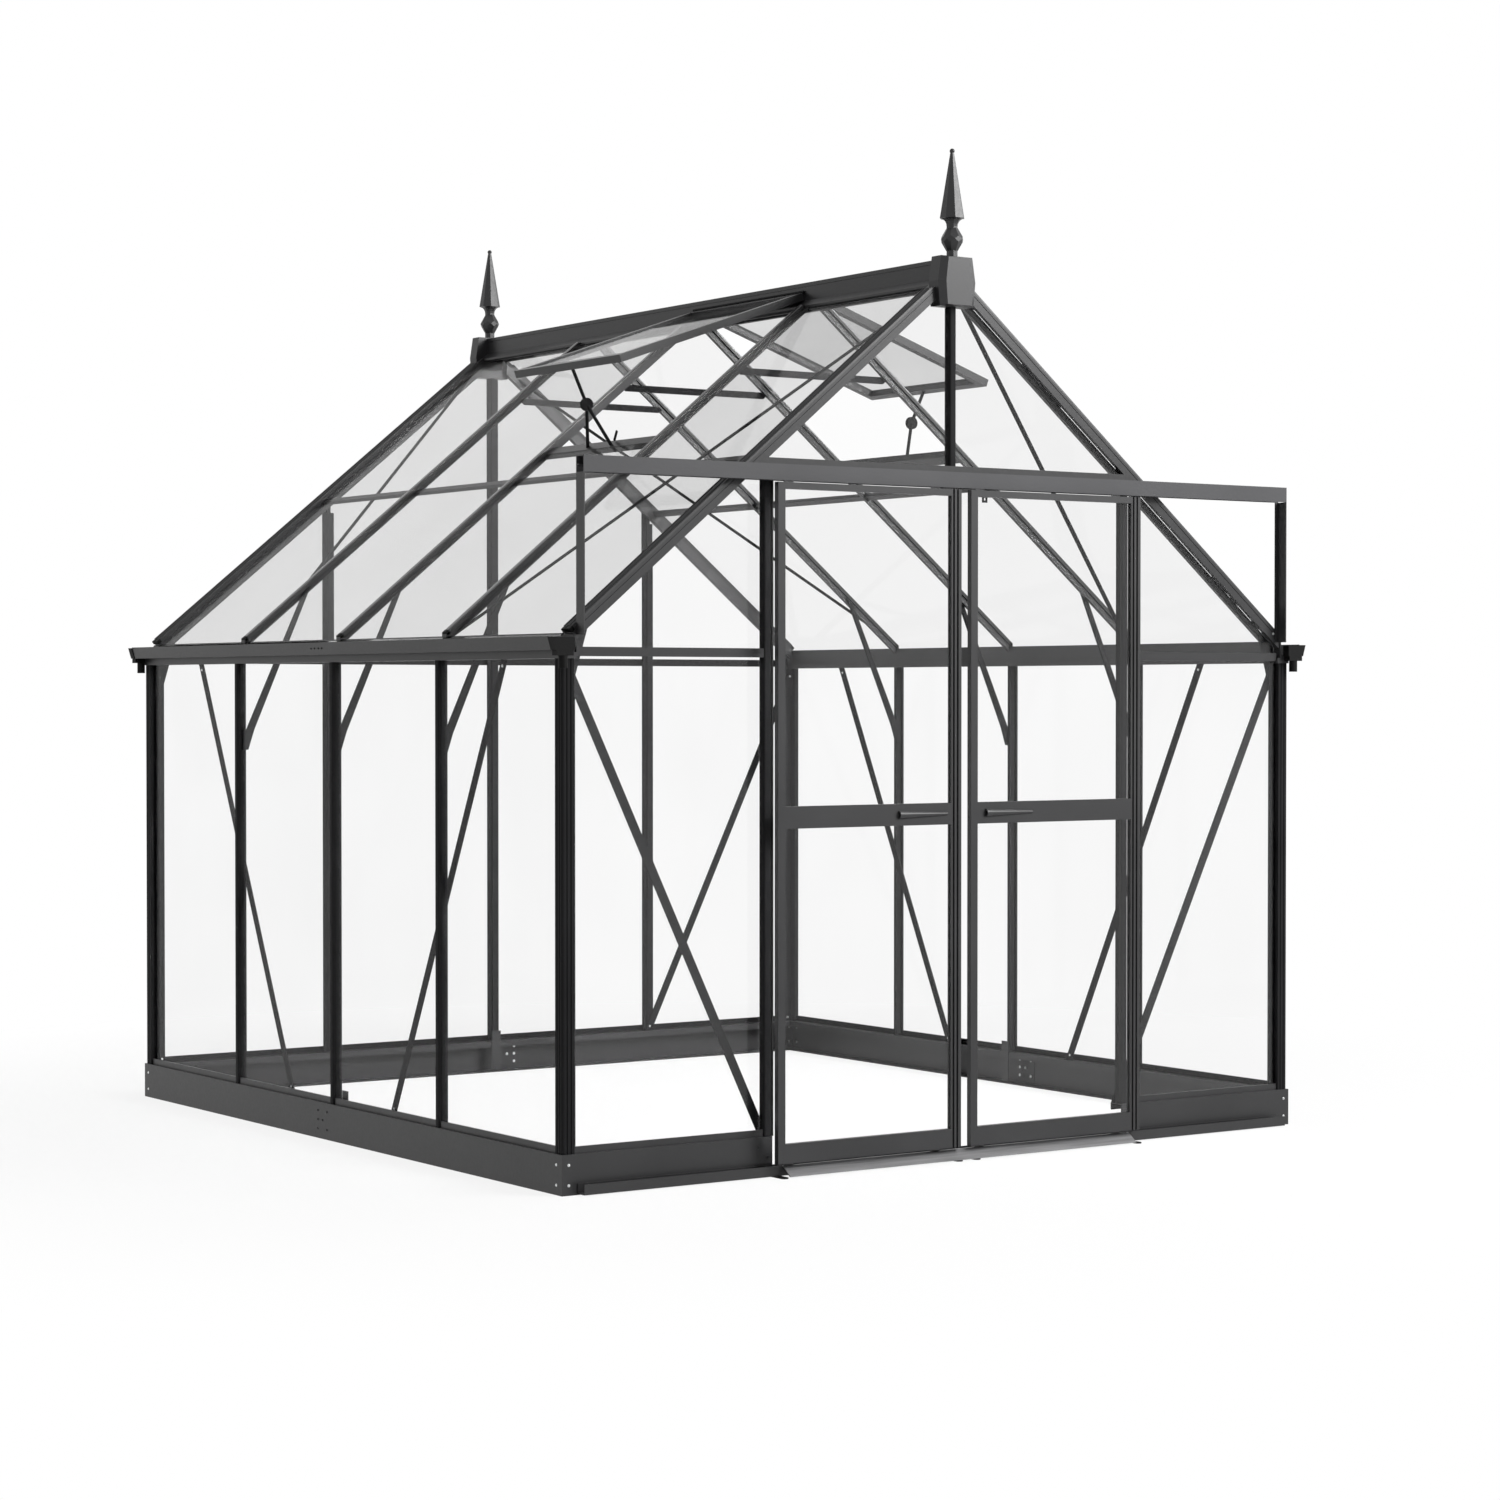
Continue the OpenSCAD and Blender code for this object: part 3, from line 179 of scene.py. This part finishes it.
def start_repeat(name, sizes):
    """A Geometry Nodes tree for small pieces that repeat: their places, sizes and finish."""
    tree = bpy.data.node_groups.new(name, "GeometryNodeTree")
    tree.interface.new_socket("Places", in_out="INPUT", socket_type="NodeSocketGeometry")
    for size, usual in sizes.items():
        socket = tree.interface.new_socket(size, in_out="INPUT", socket_type="NodeSocketFloat")
        socket.default_value = usual
    tree.interface.new_socket("Finish", in_out="INPUT", socket_type="NodeSocketMaterial")
    tree.interface.new_socket("Pieces", in_out="OUTPUT", socket_type="NodeSocketGeometry")
    return tree, put(tree, "NodeGroupInput").outputs


def end_repeat(tree, points, shape, turn, finish):
    """Sets the shape on the points, makes the copies real and gives them their finish."""
    copies = put(tree, "GeometryNodeInstanceOnPoints", {
        "Points": points, "Instance": shape, "Rotation": turn})
    real = put(tree, "GeometryNodeRealizeInstances", {"Geometry": copies.outputs[0]})
    painted = put(tree, "GeometryNodeSetMaterial", {"Geometry": real.outputs[0], "Material": finish})
    put(tree, "NodeGroupOutput", {"Pieces": painted.outputs[0]})


def run_repeat(name, places, tree, inputs, body):
    """Runs a tree on a mesh of places, and keeps the result as one plain mesh on its body."""
    piece = bpy.data.objects.new(name, places)
    scene.collection.objects.link(piece)
    modifier = piece.modifiers.new(tree.name, "NODES")
    modifier.node_group = tree
    for socket in tree.interface.items_tree:
        if socket.name in inputs:
            modifier[socket.identifier] = inputs[socket.name]
    plain = bpy.data.meshes.new_from_object(piece.evaluated_get(bpy.context.evaluated_depsgraph_get()))
    piece.modifiers.clear()
    piece.data = plain
    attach(piece, body)


bolt_tree, given = start_repeat("bolt_heads", {
    "Washer diameter": 0.008, "Washer thickness": 0.001, "Head diameter": 0.006, "Head height": 0.0025})
washer_radius, head_radius = [
    put(bolt_tree, "ShaderNodeMath", {0: given[size], 1: 0.5}, operation="MULTIPLY").outputs[0]
    for size in ("Washer diameter", "Head diameter")]
washer = put(bolt_tree, "GeometryNodeMeshCylinder", {
    "Vertices": 12, "Radius": washer_radius, "Depth": given["Washer thickness"]})
# a head narrows to seven tenths at its top
head_top = put(bolt_tree, "ShaderNodeMath", {0: head_radius, 1: 0.7}, operation="MULTIPLY")
head = put(bolt_tree, "GeometryNodeMeshCone", {
    "Vertices": 12, "Radius Top": head_top.outputs[0], "Radius Bottom": head_radius,
    "Depth": given["Head height"]})
bolt = put(bolt_tree, "GeometryNodeJoinGeometry")
bolt_tree.links.new(washer.outputs["Mesh"], bolt.inputs[0])
bolt_tree.links.new(head.outputs["Mesh"], bolt.inputs[0])
facing = put(bolt_tree, "GeometryNodeInputNamedAttribute", {"Name": "facing"}, data_type="FLOAT_VECTOR")
turn = put(bolt_tree, "FunctionNodeAlignRotationToVector", {
    "Vector": facing.outputs["Attribute"]}, axis="Z")
end_repeat(bolt_tree, given["Places"], bolt.outputs[0], turn.outputs[0], given["Finish"])


def bolts(name, places, finish, sizes=()):
    """Bolt heads of the house at (point, outward direction) pairs."""
    mesh = bpy.data.meshes.new(name)
    mesh.from_pydata([point for point, _ in places], [], [])
    facing = mesh.attributes.new("facing", "FLOAT_VECTOR", "POINT")
    facing.data.foreach_set("vector", [c for _, way in places for c in way])
    run_repeat(name, mesh, bolt_tree, {"Finish": finish, **dict(sizes)}, "house")


# the row frame's middle lies 25 mm in front of the middle of the base
middle = 0.025
base_x, base_y, sheet = 1.26, 1.28, 0.003
# two bolts, one above the other, on each face of a corner
corner_heights, from_corner_y, from_corner_x = (0.026, 0.078), 0.028, 0.02
corner_bolts = []
for side in (-1, 1):
    for end in (-1, 1):
        for z in corner_heights:
            for depth, way in ((0.0, 1), (sheet, -1)):
                corner_bolts.append(((side * (base_x - depth), middle + end * (base_y - from_corner_y), z),
                                     (side * way, 0, 0)))
                corner_bolts.append(((side * (base_x - from_corner_x), middle + end * (base_y - depth), z),
                                     (0, end * way, 0)))
bolts("base_corner_bolts", corner_bolts, zinc)

# splice plates behind the joints of the base: coated screws outside, bright nuts inside
side_joint, rear_joint, plate_thick = 0.05, 0.067, 0.002
nut_depth = sheet + plate_thick
# how far along from the joint, and how high, each screw of a splice sits
splice_holes = ((-0.028, 0.08), (0.0, 0.054), (0.028, 0.08),
                (-0.028, 0.028), (0.028, 0.028), (0.028, 0.054))
coated_screws, splice_nuts = [], []
for along, z in splice_holes:
    for side in (-1, 1):
        y = middle - side * side_joint + along
        coated_screws.append(((side * base_x, y, z), (side, 0, 0)))
        splice_nuts.append(((side * (base_x - nut_depth), y, z), (-side, 0, 0)))
    x = rear_joint + along
    coated_screws.append(((x, middle + base_y, z), (0, 1, 0)))
    splice_nuts.append(((x, middle + base_y - nut_depth, z), (0, -1, 0)))
# the doorway ends of the front panels have two coated screws each
doorway_holes = ((0.651, 0.078), (0.622, 0.051))
for side in (-1, 1):
    for x, z in doorway_holes:
        coated_screws.append(((side * x, middle - base_y, z), (0, -1, 0)))
bolts("base_coated_screws", coated_screws, coated_steel)
nut_sizes = {"Washer diameter": 0.01, "Head diameter": 0.008}
bolts("base_splice_nuts", splice_nuts, zinc, nut_sizes)


def prism(form, start, end, side, outline):
    """Adds a straight bar to a bmesh: an outline across (side, up) swept from start to end."""
    start, end = Vector(start), Vector(end)
    across = Vector(side).normalized()
    up = (end - start).cross(across).normalized()
    rings = [[form.verts.new(p + across * u + up * v) for u, v in outline] for p in (start, end)]
    count = len(outline)
    for i in range(count):
        j = (i + 1) % count
        form.faces.new((rings[0][i], rings[0][j], rings[1][j], rings[1][i]))
    form.faces.new(rings[0])
    form.faces.new(rings[1])


def upright(form, x, y, low, high, side, outline):
    """A bar that stands straight up."""
    prism(form, (x, y, low), (x, y, high), side, outline)


def rectangle(left, right, low, high):
    """The outline of a flat bar."""
    return [(left, low), (right, low), (right, high), (left, high)]


def finish_form(name, form, material, body, edge=0.0):
    """Turns a bmesh into a piece: outward faces, edges broken by a small bevel, material and body."""
    bmesh.ops.recalc_face_normals(form, faces=form.faces)
    if edge:
        bmesh.ops.bevel(form, geom=form.edges, offset=edge, segments=1, affect="EDGES", clamp_overlap=True)
    mesh = bpy.data.meshes.new(name)
    form.to_mesh(mesh)
    form.free()
    mesh.materials.append(material)
    piece = bpy.data.objects.new(name, mesh)
    scene.collection.objects.link(piece)
    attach(piece, body)


form = bmesh.new()
plate = rectangle(-0.045, 0.045, 0.0, plate_thick)
plate_low, plate_high = 0.012, 0.096
for side in (-1, 1):
    upright(form, side * (base_x - sheet), middle - side * side_joint, plate_low, plate_high,
            (0, side, 0), plate)
upright(form, rear_joint, middle + base_y - sheet, plate_low, plate_high, (-1, 0, 0), plate)
# each middle bar stands on a tongue that hangs inside the base and shows above it
tongue = rectangle(-0.017, 0.017, 0.0, 0.003)
tongue_low, tongue_high, base_flange = 0.01, 0.14, 0.048
for side in (-1, 1):
    upright(form, side * (base_x - base_flange), middle, tongue_low, tongue_high, (0, side, 0), tongue)
upright(form, 0.0, middle + base_y - base_flange, tongue_low, tongue_high, (-1, 0, 0), tongue)
finish_form("base_splice_plates", form, coated_steel, "house", edge=0.0004)


# Posts and glazing bars: extruded aluminium, powder coated matt, standing on the base and bolted
# through slots in their backs. Rubber beads seal the glass along the edges of their caps.

# matt charcoal over aluminium, with hardly any mirror; its colour is set darker than the base as painted
# shade, for the shaded sides of the bars
shade_darkened_coat = coat("matt_coated_aluminium_painted_shade", "#1A1A1B", "#212122", 0.06, 0.55)
dress(shade_darkened_coat, "corner_posts", "side_studs", "rear_posts", "door_jambs", "king_post")

# flat flanges inside the glass: two on each corner post, one behind each rear bar
bay, wall_thick = 0.62, 0.004
post_x, post_y = 1.228, 1.248
base_top, gusset_low, gusset_clear, wall_high = 0.105, 1.272, 0.0085, 1.37
corner_flange = rectangle(0.0, 0.025, 0.0, wall_thick)
rear_flange = rectangle(-0.02, 0.02, 0.0, wall_thick)
form = bmesh.new()
for side in (-1, 1):
    for end in (-1, 1):
        post = (side * post_x, middle + end * post_y)
        # the outlines are flipped so that both flanges thicken outwards, towards the glass
        flip = side * end
        upright(form, *post, base_top, wall_high, (-side, 0, 0), [(u, -flip * v) for u, v in corner_flange])
        side_flange = [(u, flip * v) for u, v in corner_flange]
        upright(form, *post, base_top, gusset_low, (0, -end, 0), side_flange)
        # beside the gusset that flange is cut back to clear it
        narrow = [(max(u, gusset_clear), v) for u, v in side_flange]
        upright(form, *post, gusset_low, wall_high, (0, -end, 0), narrow)
for x, top in ((-bay, 1.87), (0.0, 2.34), (bay, 1.87)):
    upright(form, x, middle + post_y, base_top, top, (1, 0, 0), rear_flange)
finish_form("post_inner_flanges", form, shade_darkened_coat, "house", edge=0.0006)

# black EPDM rubber: matt, with the fine speckle of its extrusion
rubber, tree, spot = new_material("black_epdm_rubber")
# the speckle is 1 mm across, under a pixel, so it is drawn 4 mm across
speckle = put(tree, "ShaderNodeTexNoise", {"Vector": spot, "Scale": 250.0, "Detail": 1.0})
tone = put(tree, "ShaderNodeValToRGB", {"Fac": speckle.outputs["Fac"]},
           ((0.0, "#0E0E0E"), (1.0, "#1A1A1A")))
shader = put(tree, "ShaderNodeBsdfPrincipled", {
    "Base Color": tone.outputs["Color"], "Roughness": 0.7, "Specular IOR Level": 0.2})
put(tree, "ShaderNodeOutputMaterial", {"Surface": shader.outputs[0]})

cap_half, bead_half = 0.011, 0.0012
bead = [(-bead_half, 0.0), (bead_half, 0.0), (bead_half, 0.0016), (0.0, 0.0024), (-bead_half, 0.0016)]
glass_x, glass_y, wall_low = 1.245, 1.265, 0.123
form = bmesh.new()
for row in (-bay, 0.0, bay):
    for edge in (-1, 1):
        beside = row + edge * (cap_half + bead_half)
        for side in (-1, 1):
            upright(form, side * glass_x, middle + beside, wall_low, wall_high, (0, -side, 0), bead)
        upright(form, beside, middle + glass_y, wall_low, wall_high, (1, 0, 0), bead)
# draught seals along the doorway side of the jambs
jamb_x, seal_half, seal_y, seal_top = 0.608, 0.003, -1.269, 1.88
seal = rectangle(-seal_half, seal_half, -0.007, 0.007)
for side in (-1, 1):
    upright(form, side * (jamb_x - seal_half), middle + seal_y, base_top, seal_top, (1, 0, 0), seal)
finish_form("wall_glazing_beads", form, rubber, "house")


# Gutters: the eaves plate and gutter are one coated aluminium extrusion, joined at mid length by a
# plate with four small screws. A moulded plastic outlet closes each end.
dress(coated_steel, "eaves_gutters")

# black polypropylene, injection moulded: deep black, with a fine spark-eroded grain
plastic, tree, spot = new_material("black_polypropylene")
# the mould's grain is 0.5 mm, under a pixel, so it is drawn 5 mm across
grain = put(tree, "ShaderNodeTexNoise", {"Vector": spot, "Scale": 200.0, "Detail": 2.0})
tone = put(tree, "ShaderNodeValToRGB", {"Fac": grain.outputs["Fac"]},
           ((0.0, "#0B0B0B"), (1.0, "#151515")))
dents = put(tree, "ShaderNodeBump", {"Height": grain.outputs["Fac"], "Strength": 0.15, "Distance": 0.001})
shader = put(tree, "ShaderNodeBsdfPrincipled", {
    "Base Color": tone.outputs["Color"], "Roughness": 0.55, "Specular IOR Level": 0.1,
    "Normal": dents.outputs["Normal"]})
put(tree, "ShaderNodeOutputMaterial", {"Surface": shader.outputs[0]})
dress(plastic, "gutter_outlets")

# the gutter's outer face leans a little, and the screws with it
gutter_x, gutter_z, gutter_joint = 1.295, 1.409, 0.011
gutter_lean = Vector((0.035, 0, -0.01)).normalized()
gutter_screws = []
for side in (-1, 1):
    for along in (-0.033, -0.012, 0.012, 0.033):
        gutter_screws.append(((side * gutter_x, middle + gutter_joint + along, gutter_z),
                              (side * gutter_lean.x, 0, gutter_lean.z)))
small_screw = {"Washer diameter": 0.006, "Head diameter": 0.005, "Head height": 0.002}
bolts("gutter_splice_screws", gutter_screws, plastic, small_screw)


# Roof bars: coated aluminium rafters that butt on the ridge beam and on the eaves plate, with a crowned
# cap clipped over the glass of each bay joint. The cap's crown catches the sky as a pale line,
# and a black plug closes its foot.

# satin charcoal over aluminium: dark like the base, with a soft sky gloss on top
roof_coat = coat("satin_coated_roof_bars", "#262627", "#2E2E2F", 0.35, 0.36)
dress(roof_coat, "gable_rafters", "rafters", "ridge_beam", "ridge_caps", "finials", "purlins", "gable_bars")

# half of the outline of a low crowned cap, from its edge to the crown
half_cap = [(cap_half, 0.0), (0.0108, 0.0022), (0.0095, 0.0037), (0.006, 0.0044), (0.0, 0.0047)]
crowned_cap = half_cap + [(-u, v) for u, v in reversed(half_cap[:-1])]
# half of a ribbed cap of the gable rafters, from its edge over the rib to the trough
half_rib = [(cap_half, 0.0), (0.0101, 0.0052), (0.0082, 0.006), (0.006, 0.005), (0.005, 0.003)]
ribbed_cap = half_rib + [(-u, v) for u, v in reversed(half_rib)]
plug_skirt = 0.008
end_plug = crowned_cap + [(-cap_half, -plug_skirt), (cap_half, -plug_skirt)]
# glossier coat of the caps: dark, with a crown that mirrors the sky at a slant
cap_gloss = coat("gloss_coated_cap", "#2C2C2D", "#343435", 0.8, 0.2)
fall, roof_z = 0.815, 2.44593


def on_roof(side, x, row):
    """A point on the outer face of a slope, x out from the ridge line."""
    return Vector((side * x, middle + row, roof_z - fall * x))


# the gable rafters are twice as wide and carry two ribbed caps side by side
gable_row, cap_foot, plug_foot = 1.265, 1.222, 1.2315
cap_head, gable_cap_head = 0.05, 0.07
inner_row = gable_row - 2 * cap_half
caps, gable_caps, plugs = bmesh.new(), bmesh.new(), bmesh.new()
for side in (-1, 1):
    across = (0, side, 0)
    for row in (-bay, 0.0, bay):
        prism(caps, on_roof(side, cap_head, row), on_roof(side, cap_foot, row), across, crowned_cap)
    for row in (gable_row, inner_row, -gable_row, -inner_row):
        prism(gable_caps, on_roof(side, gable_cap_head, row), on_roof(side, cap_foot, row), across,
              ribbed_cap)
    for row in (-bay, 0.0, bay, gable_row, inner_row, -gable_row, -inner_row):
        prism(plugs, on_roof(side, cap_foot, row), on_roof(side, plug_foot, row), across, end_plug)
finish_form("rafter_caps", caps, cap_gloss, "house")
finish_form("gable_rafter_caps", gable_caps, roof_coat, "house")
finish_form("rafter_end_plugs", plugs, plastic, "house", edge=0.0005)


# Bracing: flat coated bars bolted across the bays, ties and struts between the bars, and a folded
# gusset in each eaves corner. Bright bolts show at their ends.
dress(shade_darkened_coat, "collar_ties", "knee_braces", "roof_braces", "wall_braces", "gable_braces",
      "corner_gussets")

# where the bolts sit along and up a wall, and the two faces of the bar that they go through
wall_brace_ends, wall_brace_faces = ((0.318, 0.122), (0.922, 1.353)), ((1.22, -1), (1.224, 1))
# gussets have one bolt into the post and one into the rafter
gusset_holes, gusset_faces = ((1.222, 1.332), (1.185, 1.383)), ((1.244, -1), (1.248, 1))
post_foot_x, post_foot_y, post_foot_z = 1.214, 1.248, 0.118
gable_brace_ends, gable_brace_y = ((0.621, 0.12), (1.218, 1.342)), 1.24
rafter_foot_x, rafter_foot_y, rafter_foot_z = 1.198, 1.276, 1.457
brace_bolts = []
for side in (-1, 1):
    for end in (-1, 1):
        for y, z in wall_brace_ends:
            for x, way in wall_brace_faces:
                brace_bolts.append(((side * x, middle + end * y, z), (side * way, 0, 0)))
        for x, z in gusset_holes:
            for y, way in gusset_faces:
                brace_bolts.append(((side * x, middle + end * y, z), (0, end * way, 0)))
        brace_bolts.append(((side * post_foot_x, middle + end * post_foot_y, post_foot_z), (0, -end, 0)))
    for x, z in gable_brace_ends:
        brace_bolts.append(((side * x, middle - gable_brace_y, z), (0, 1, 0)))
    brace_bolts.append(((side * rafter_foot_x, middle - rafter_foot_y, rafter_foot_z), (0, -1, 0)))
# the rear gable has its one brace on the right
for x, z in gable_brace_ends:
    brace_bolts.append(((x, middle + gable_brace_y, z), (0, -1, 0)))
bolts("brace_bolts", brace_bolts, zinc)


# Glass: 4 mm horticultural float glass in the walls, the roof and the vents, held in the bars by their
# caps. It is almost colourless; the roof and vent sheets are given a greyer colour, painted shade for the
# slant at which they are seen.
def float_glass(name, pane_tone, shade, mirror, square_view_tone=None):
    """Clear sheet: a grey colour, faint absorption in the walls and painted shade of the slant in the roof
    and vents, a weak mirror, and light passes it without a dark shadow.
    """
    material, tree, spot = new_material(name)
    # slow waves from the float bath about 400 mm long, which vary the tone a little
    wave = put(tree, "ShaderNodeTexNoise", {"Vector": spot, "Scale": 2.5, "Detail": 1.0})
    tone = put(tree, "ShaderNodeValToRGB", {"Fac": wave.outputs["Fac"]}, ((0.0, shade), (1.0, pane_tone)))
    colour = tone.outputs["Color"]
    if square_view_tone:
        # the sheets left of the ridge keep the grey of the painted slant shade; those right of it, seen
        # squarely from below, get a clearer colour
        parts = put(tree, "ShaderNodeSeparateXYZ", {"Vector": spot})
        right = put(tree, "ShaderNodeMath", {0: parts.outputs["X"], 1: 0.0}, operation="GREATER_THAN")
        colour = put(tree, "ShaderNodeMix", {
            "Factor": right.outputs[0], "A": colour, "B": linear(square_view_tone)},
            data_type="RGBA").outputs["Result"]
    pane = put(tree, "ShaderNodeBsdfPrincipled", {
        "Base Color": colour, "Roughness": 0.0, "IOR": mirror, "Transmission Weight": 1.0})
    clear = put(tree, "ShaderNodeBsdfTransparent", {"Color": linear("#F3F3F3")})
    ray = put(tree, "ShaderNodeLightPath")
    mix = put(tree, "ShaderNodeMixShader", {
        0: ray.outputs["Is Shadow Ray"], 1: pane.outputs[0], 2: clear.outputs[0]})
    put(tree, "ShaderNodeOutputMaterial", {"Surface": mix.outputs[0]})
    return material


# real float glass has an IOR of 1.52; the mirror is set weaker, until bars behind it stay as dark as
# in the photograph, and weakest in the vents, which are seen edge on
wall_glass = float_glass("clear_float_glass", "#FCFCFC", "#F8F8F8", 1.1)
front_glass = float_glass("clear_front_glass", "#FEFEFE", "#FBFBFB", 1.3)
# the roof and vent sheets are coloured greyer than the walls: painted shade for the slant at which they are
# seen
roof_glass = float_glass("roof_glass_painted_slant_shade", "#E3E3E3", "#DCDCDC", 1.06, "#F4F4F4")
vent_glass = float_glass("vent_glass_painted_slant_shade", "#DFDFDF", "#D8D8D8", 1.02)
dress(wall_glass, "side_glass", "rear_glass")
dress(front_glass, "front_glass", "left_glass", "right_glass")
dress(roof_glass, "roof_glass")
dress(vent_glass, "vent_glass")


# Vents: coated frames that hang on a rod along the ridge and are held open by an opener that stands on
# the vent sill. The left opener has a cross pin at the foot of its front arm.
dress(roof_coat, "vent_frames")
dress(shade_darkened_coat, "vent_openers")

rod_radius, rod_x, rod_z = 0.004, 0.026, roof_z + 0.004
rod_front, rod_back = middle - 0.6, middle - 0.02
angles = [math.radians(a) for a in range(0, 360, 45)]
round_rod = [(rod_radius * math.cos(a), rod_radius * math.sin(a)) for a in angles]
form = bmesh.new()
for side in (-1, 1):
    prism(form, (side * rod_x, rod_front, rod_z), (side * rod_x, rod_back, rod_z), (0, 0, 1), round_rod)
pin_low, pin_high = (-0.528, middle - 0.365, 2.012), (-0.545, middle - 0.405, 2.034)
prism(form, pin_low, pin_high, (1, 0, 0), round_rod)
finish_form("vent_hinge_rods", form, shade_darkened_coat, "house")


# Tracks: coated aluminium channels along the front, above and below the leaves, on two end posts and
# four black feet. The ramp in front is bare aluminium sheet, bent and hooked on the bottom track.

# satin charcoal; its colour is set a shade lighter than the roof bars as painted light, for the light that
# falls squarely on the front of the track
lit_track_coat = coat("satin_coated_track_painted_light", "#38383A", "#404042", 0.35, 0.38)
dress(lit_track_coat, "top_track")
dress(coated_steel, "track_posts", "bottom_track")
dress(plastic, "track_feet")

# mill-finish aluminium: pale grey metal with streaks along the rolling direction, about 6 mm apart
bare, tree, spot = new_material("mill_finish_aluminium")
drawn = put(tree, "ShaderNodeMapping", {"Vector": spot, "Scale": (1.5, 60.0, 60.0)})
streak = put(tree, "ShaderNodeTexNoise", {"Vector": drawn.outputs["Vector"], "Scale": 3.0, "Detail": 4.0})
tone = put(tree, "ShaderNodeValToRGB", {"Fac": streak.outputs["Fac"]},
           ((0.3, "#767677"), (0.7, "#8C8C8D")))
rough = put(tree, "ShaderNodeMapRange", {"Value": streak.outputs["Fac"], "To Min": 0.38, "To Max": 0.52})
shader = put(tree, "ShaderNodeBsdfPrincipled", {
    "Base Color": tone.outputs["Color"], "Metallic": 1.0, "Roughness": rough.outputs["Result"]})
put(tree, "ShaderNodeOutputMaterial", {"Surface": shader.outputs[0]})
dress(bare, "threshold_ramp")


# Door leaves: coated aluminium stiles and rails round two sheets of glass. Brush pile fills the grooves
# of the wide stile, a scoop pull is screwed to the middle rail, and each leaf hangs on two bare
# hangers with nylon wheels.

# satin charcoal, between the roof bars and the track in tone
leaf_coat = coat("satin_coated_leaf", "#29292A", "#313132", 0.35, 0.38)

# tufts of the pile stand out of a groove, each leaning and turned a little differently
pile_tree, given = start_repeat("brush_pile", {
    "Tuft spacing": 0.005, "Tuft length": 0.0055, "Tuft width": 0.004})
strand = put(pile_tree, "GeometryNodeMeshToCurve", {"Mesh": given["Places"]})
spots = put(pile_tree, "GeometryNodeCurveToPoints", {
    "Curve": strand.outputs[0], "Length": given["Tuft spacing"]}, mode="LENGTH")
half = put(pile_tree, "ShaderNodeMath", {0: given["Tuft width"], 1: 0.5}, operation="MULTIPLY")
tuft = put(pile_tree, "GeometryNodeMeshCone", {
    "Vertices": 5, "Radius Bottom": half.outputs[0], "Depth": given["Tuft length"]})
spread = put(pile_tree, "FunctionNodeRandomValue", {
    "Min": (1.45, -0.25, 0.0), "Max": (1.70, 0.25, 3.0), "Seed": 7}, data_type="FLOAT_VECTOR")
turn = put(pile_tree, "FunctionNodeEulerToRotation", {"Euler": spread.outputs["Value"]})
end_repeat(pile_tree, spots.outputs["Points"], tuft.outputs["Mesh"], turn.outputs[0], given["Finish"])

leaf_front, leaf_back = -1.336 + middle, -1.319 + middle
leaf_width, wide_stile = 0.611, 0.035
groove_places, pile_depth, pile_low, pile_high = (0.0085, 0.022), 0.0035, 0.047, 1.828
for hand, left_edge in (("left", -0.628), ("right", 0.017)):
    dress(leaf_coat, hand + "_stiles", hand + "_rails", hand + "_handle")
    dress(bare, hand + "_hangers")

    grooves = [left_edge + leaf_width - wide_stile + place for place in groove_places]
    ends = [(x, leaf_front + pile_depth, z) for x in grooves for z in (pile_low, pile_high)]
    lines = bpy.data.meshes.new(hand + "_door_brush_pile")
    lines.from_pydata(ends, [(0, 1), (2, 3)], [])
    run_repeat(hand + "_door_brush_pile", lines, pile_tree, {"Finish": rubber}, hand + "_door")

# a small drilled tab hangs below the top rail of the right leaf: four bars round its hole
tab_x, tab_y, tab_thick = 0.077, leaf_back + 0.001, 0.002
tab_half, tab_low, tab_high = 0.009, 1.806, 1.828
hole_half, hole_low, hole_high = 0.003, 1.812, 1.819
form = bmesh.new()
for left, right, low, high in ((-tab_half, -hole_half, tab_low, tab_high),
                               (hole_half, tab_half, tab_low, tab_high),
                               (-hole_half, hole_half, tab_low, hole_low),
                               (-hole_half, hole_half, hole_high, tab_high)):
    upright(form, tab_x, tab_y, low, high, (1, 0, 0), rectangle(left, right, 0.0, tab_thick))
finish_form("right_door_tab", form, shade_darkened_coat, "right_door")
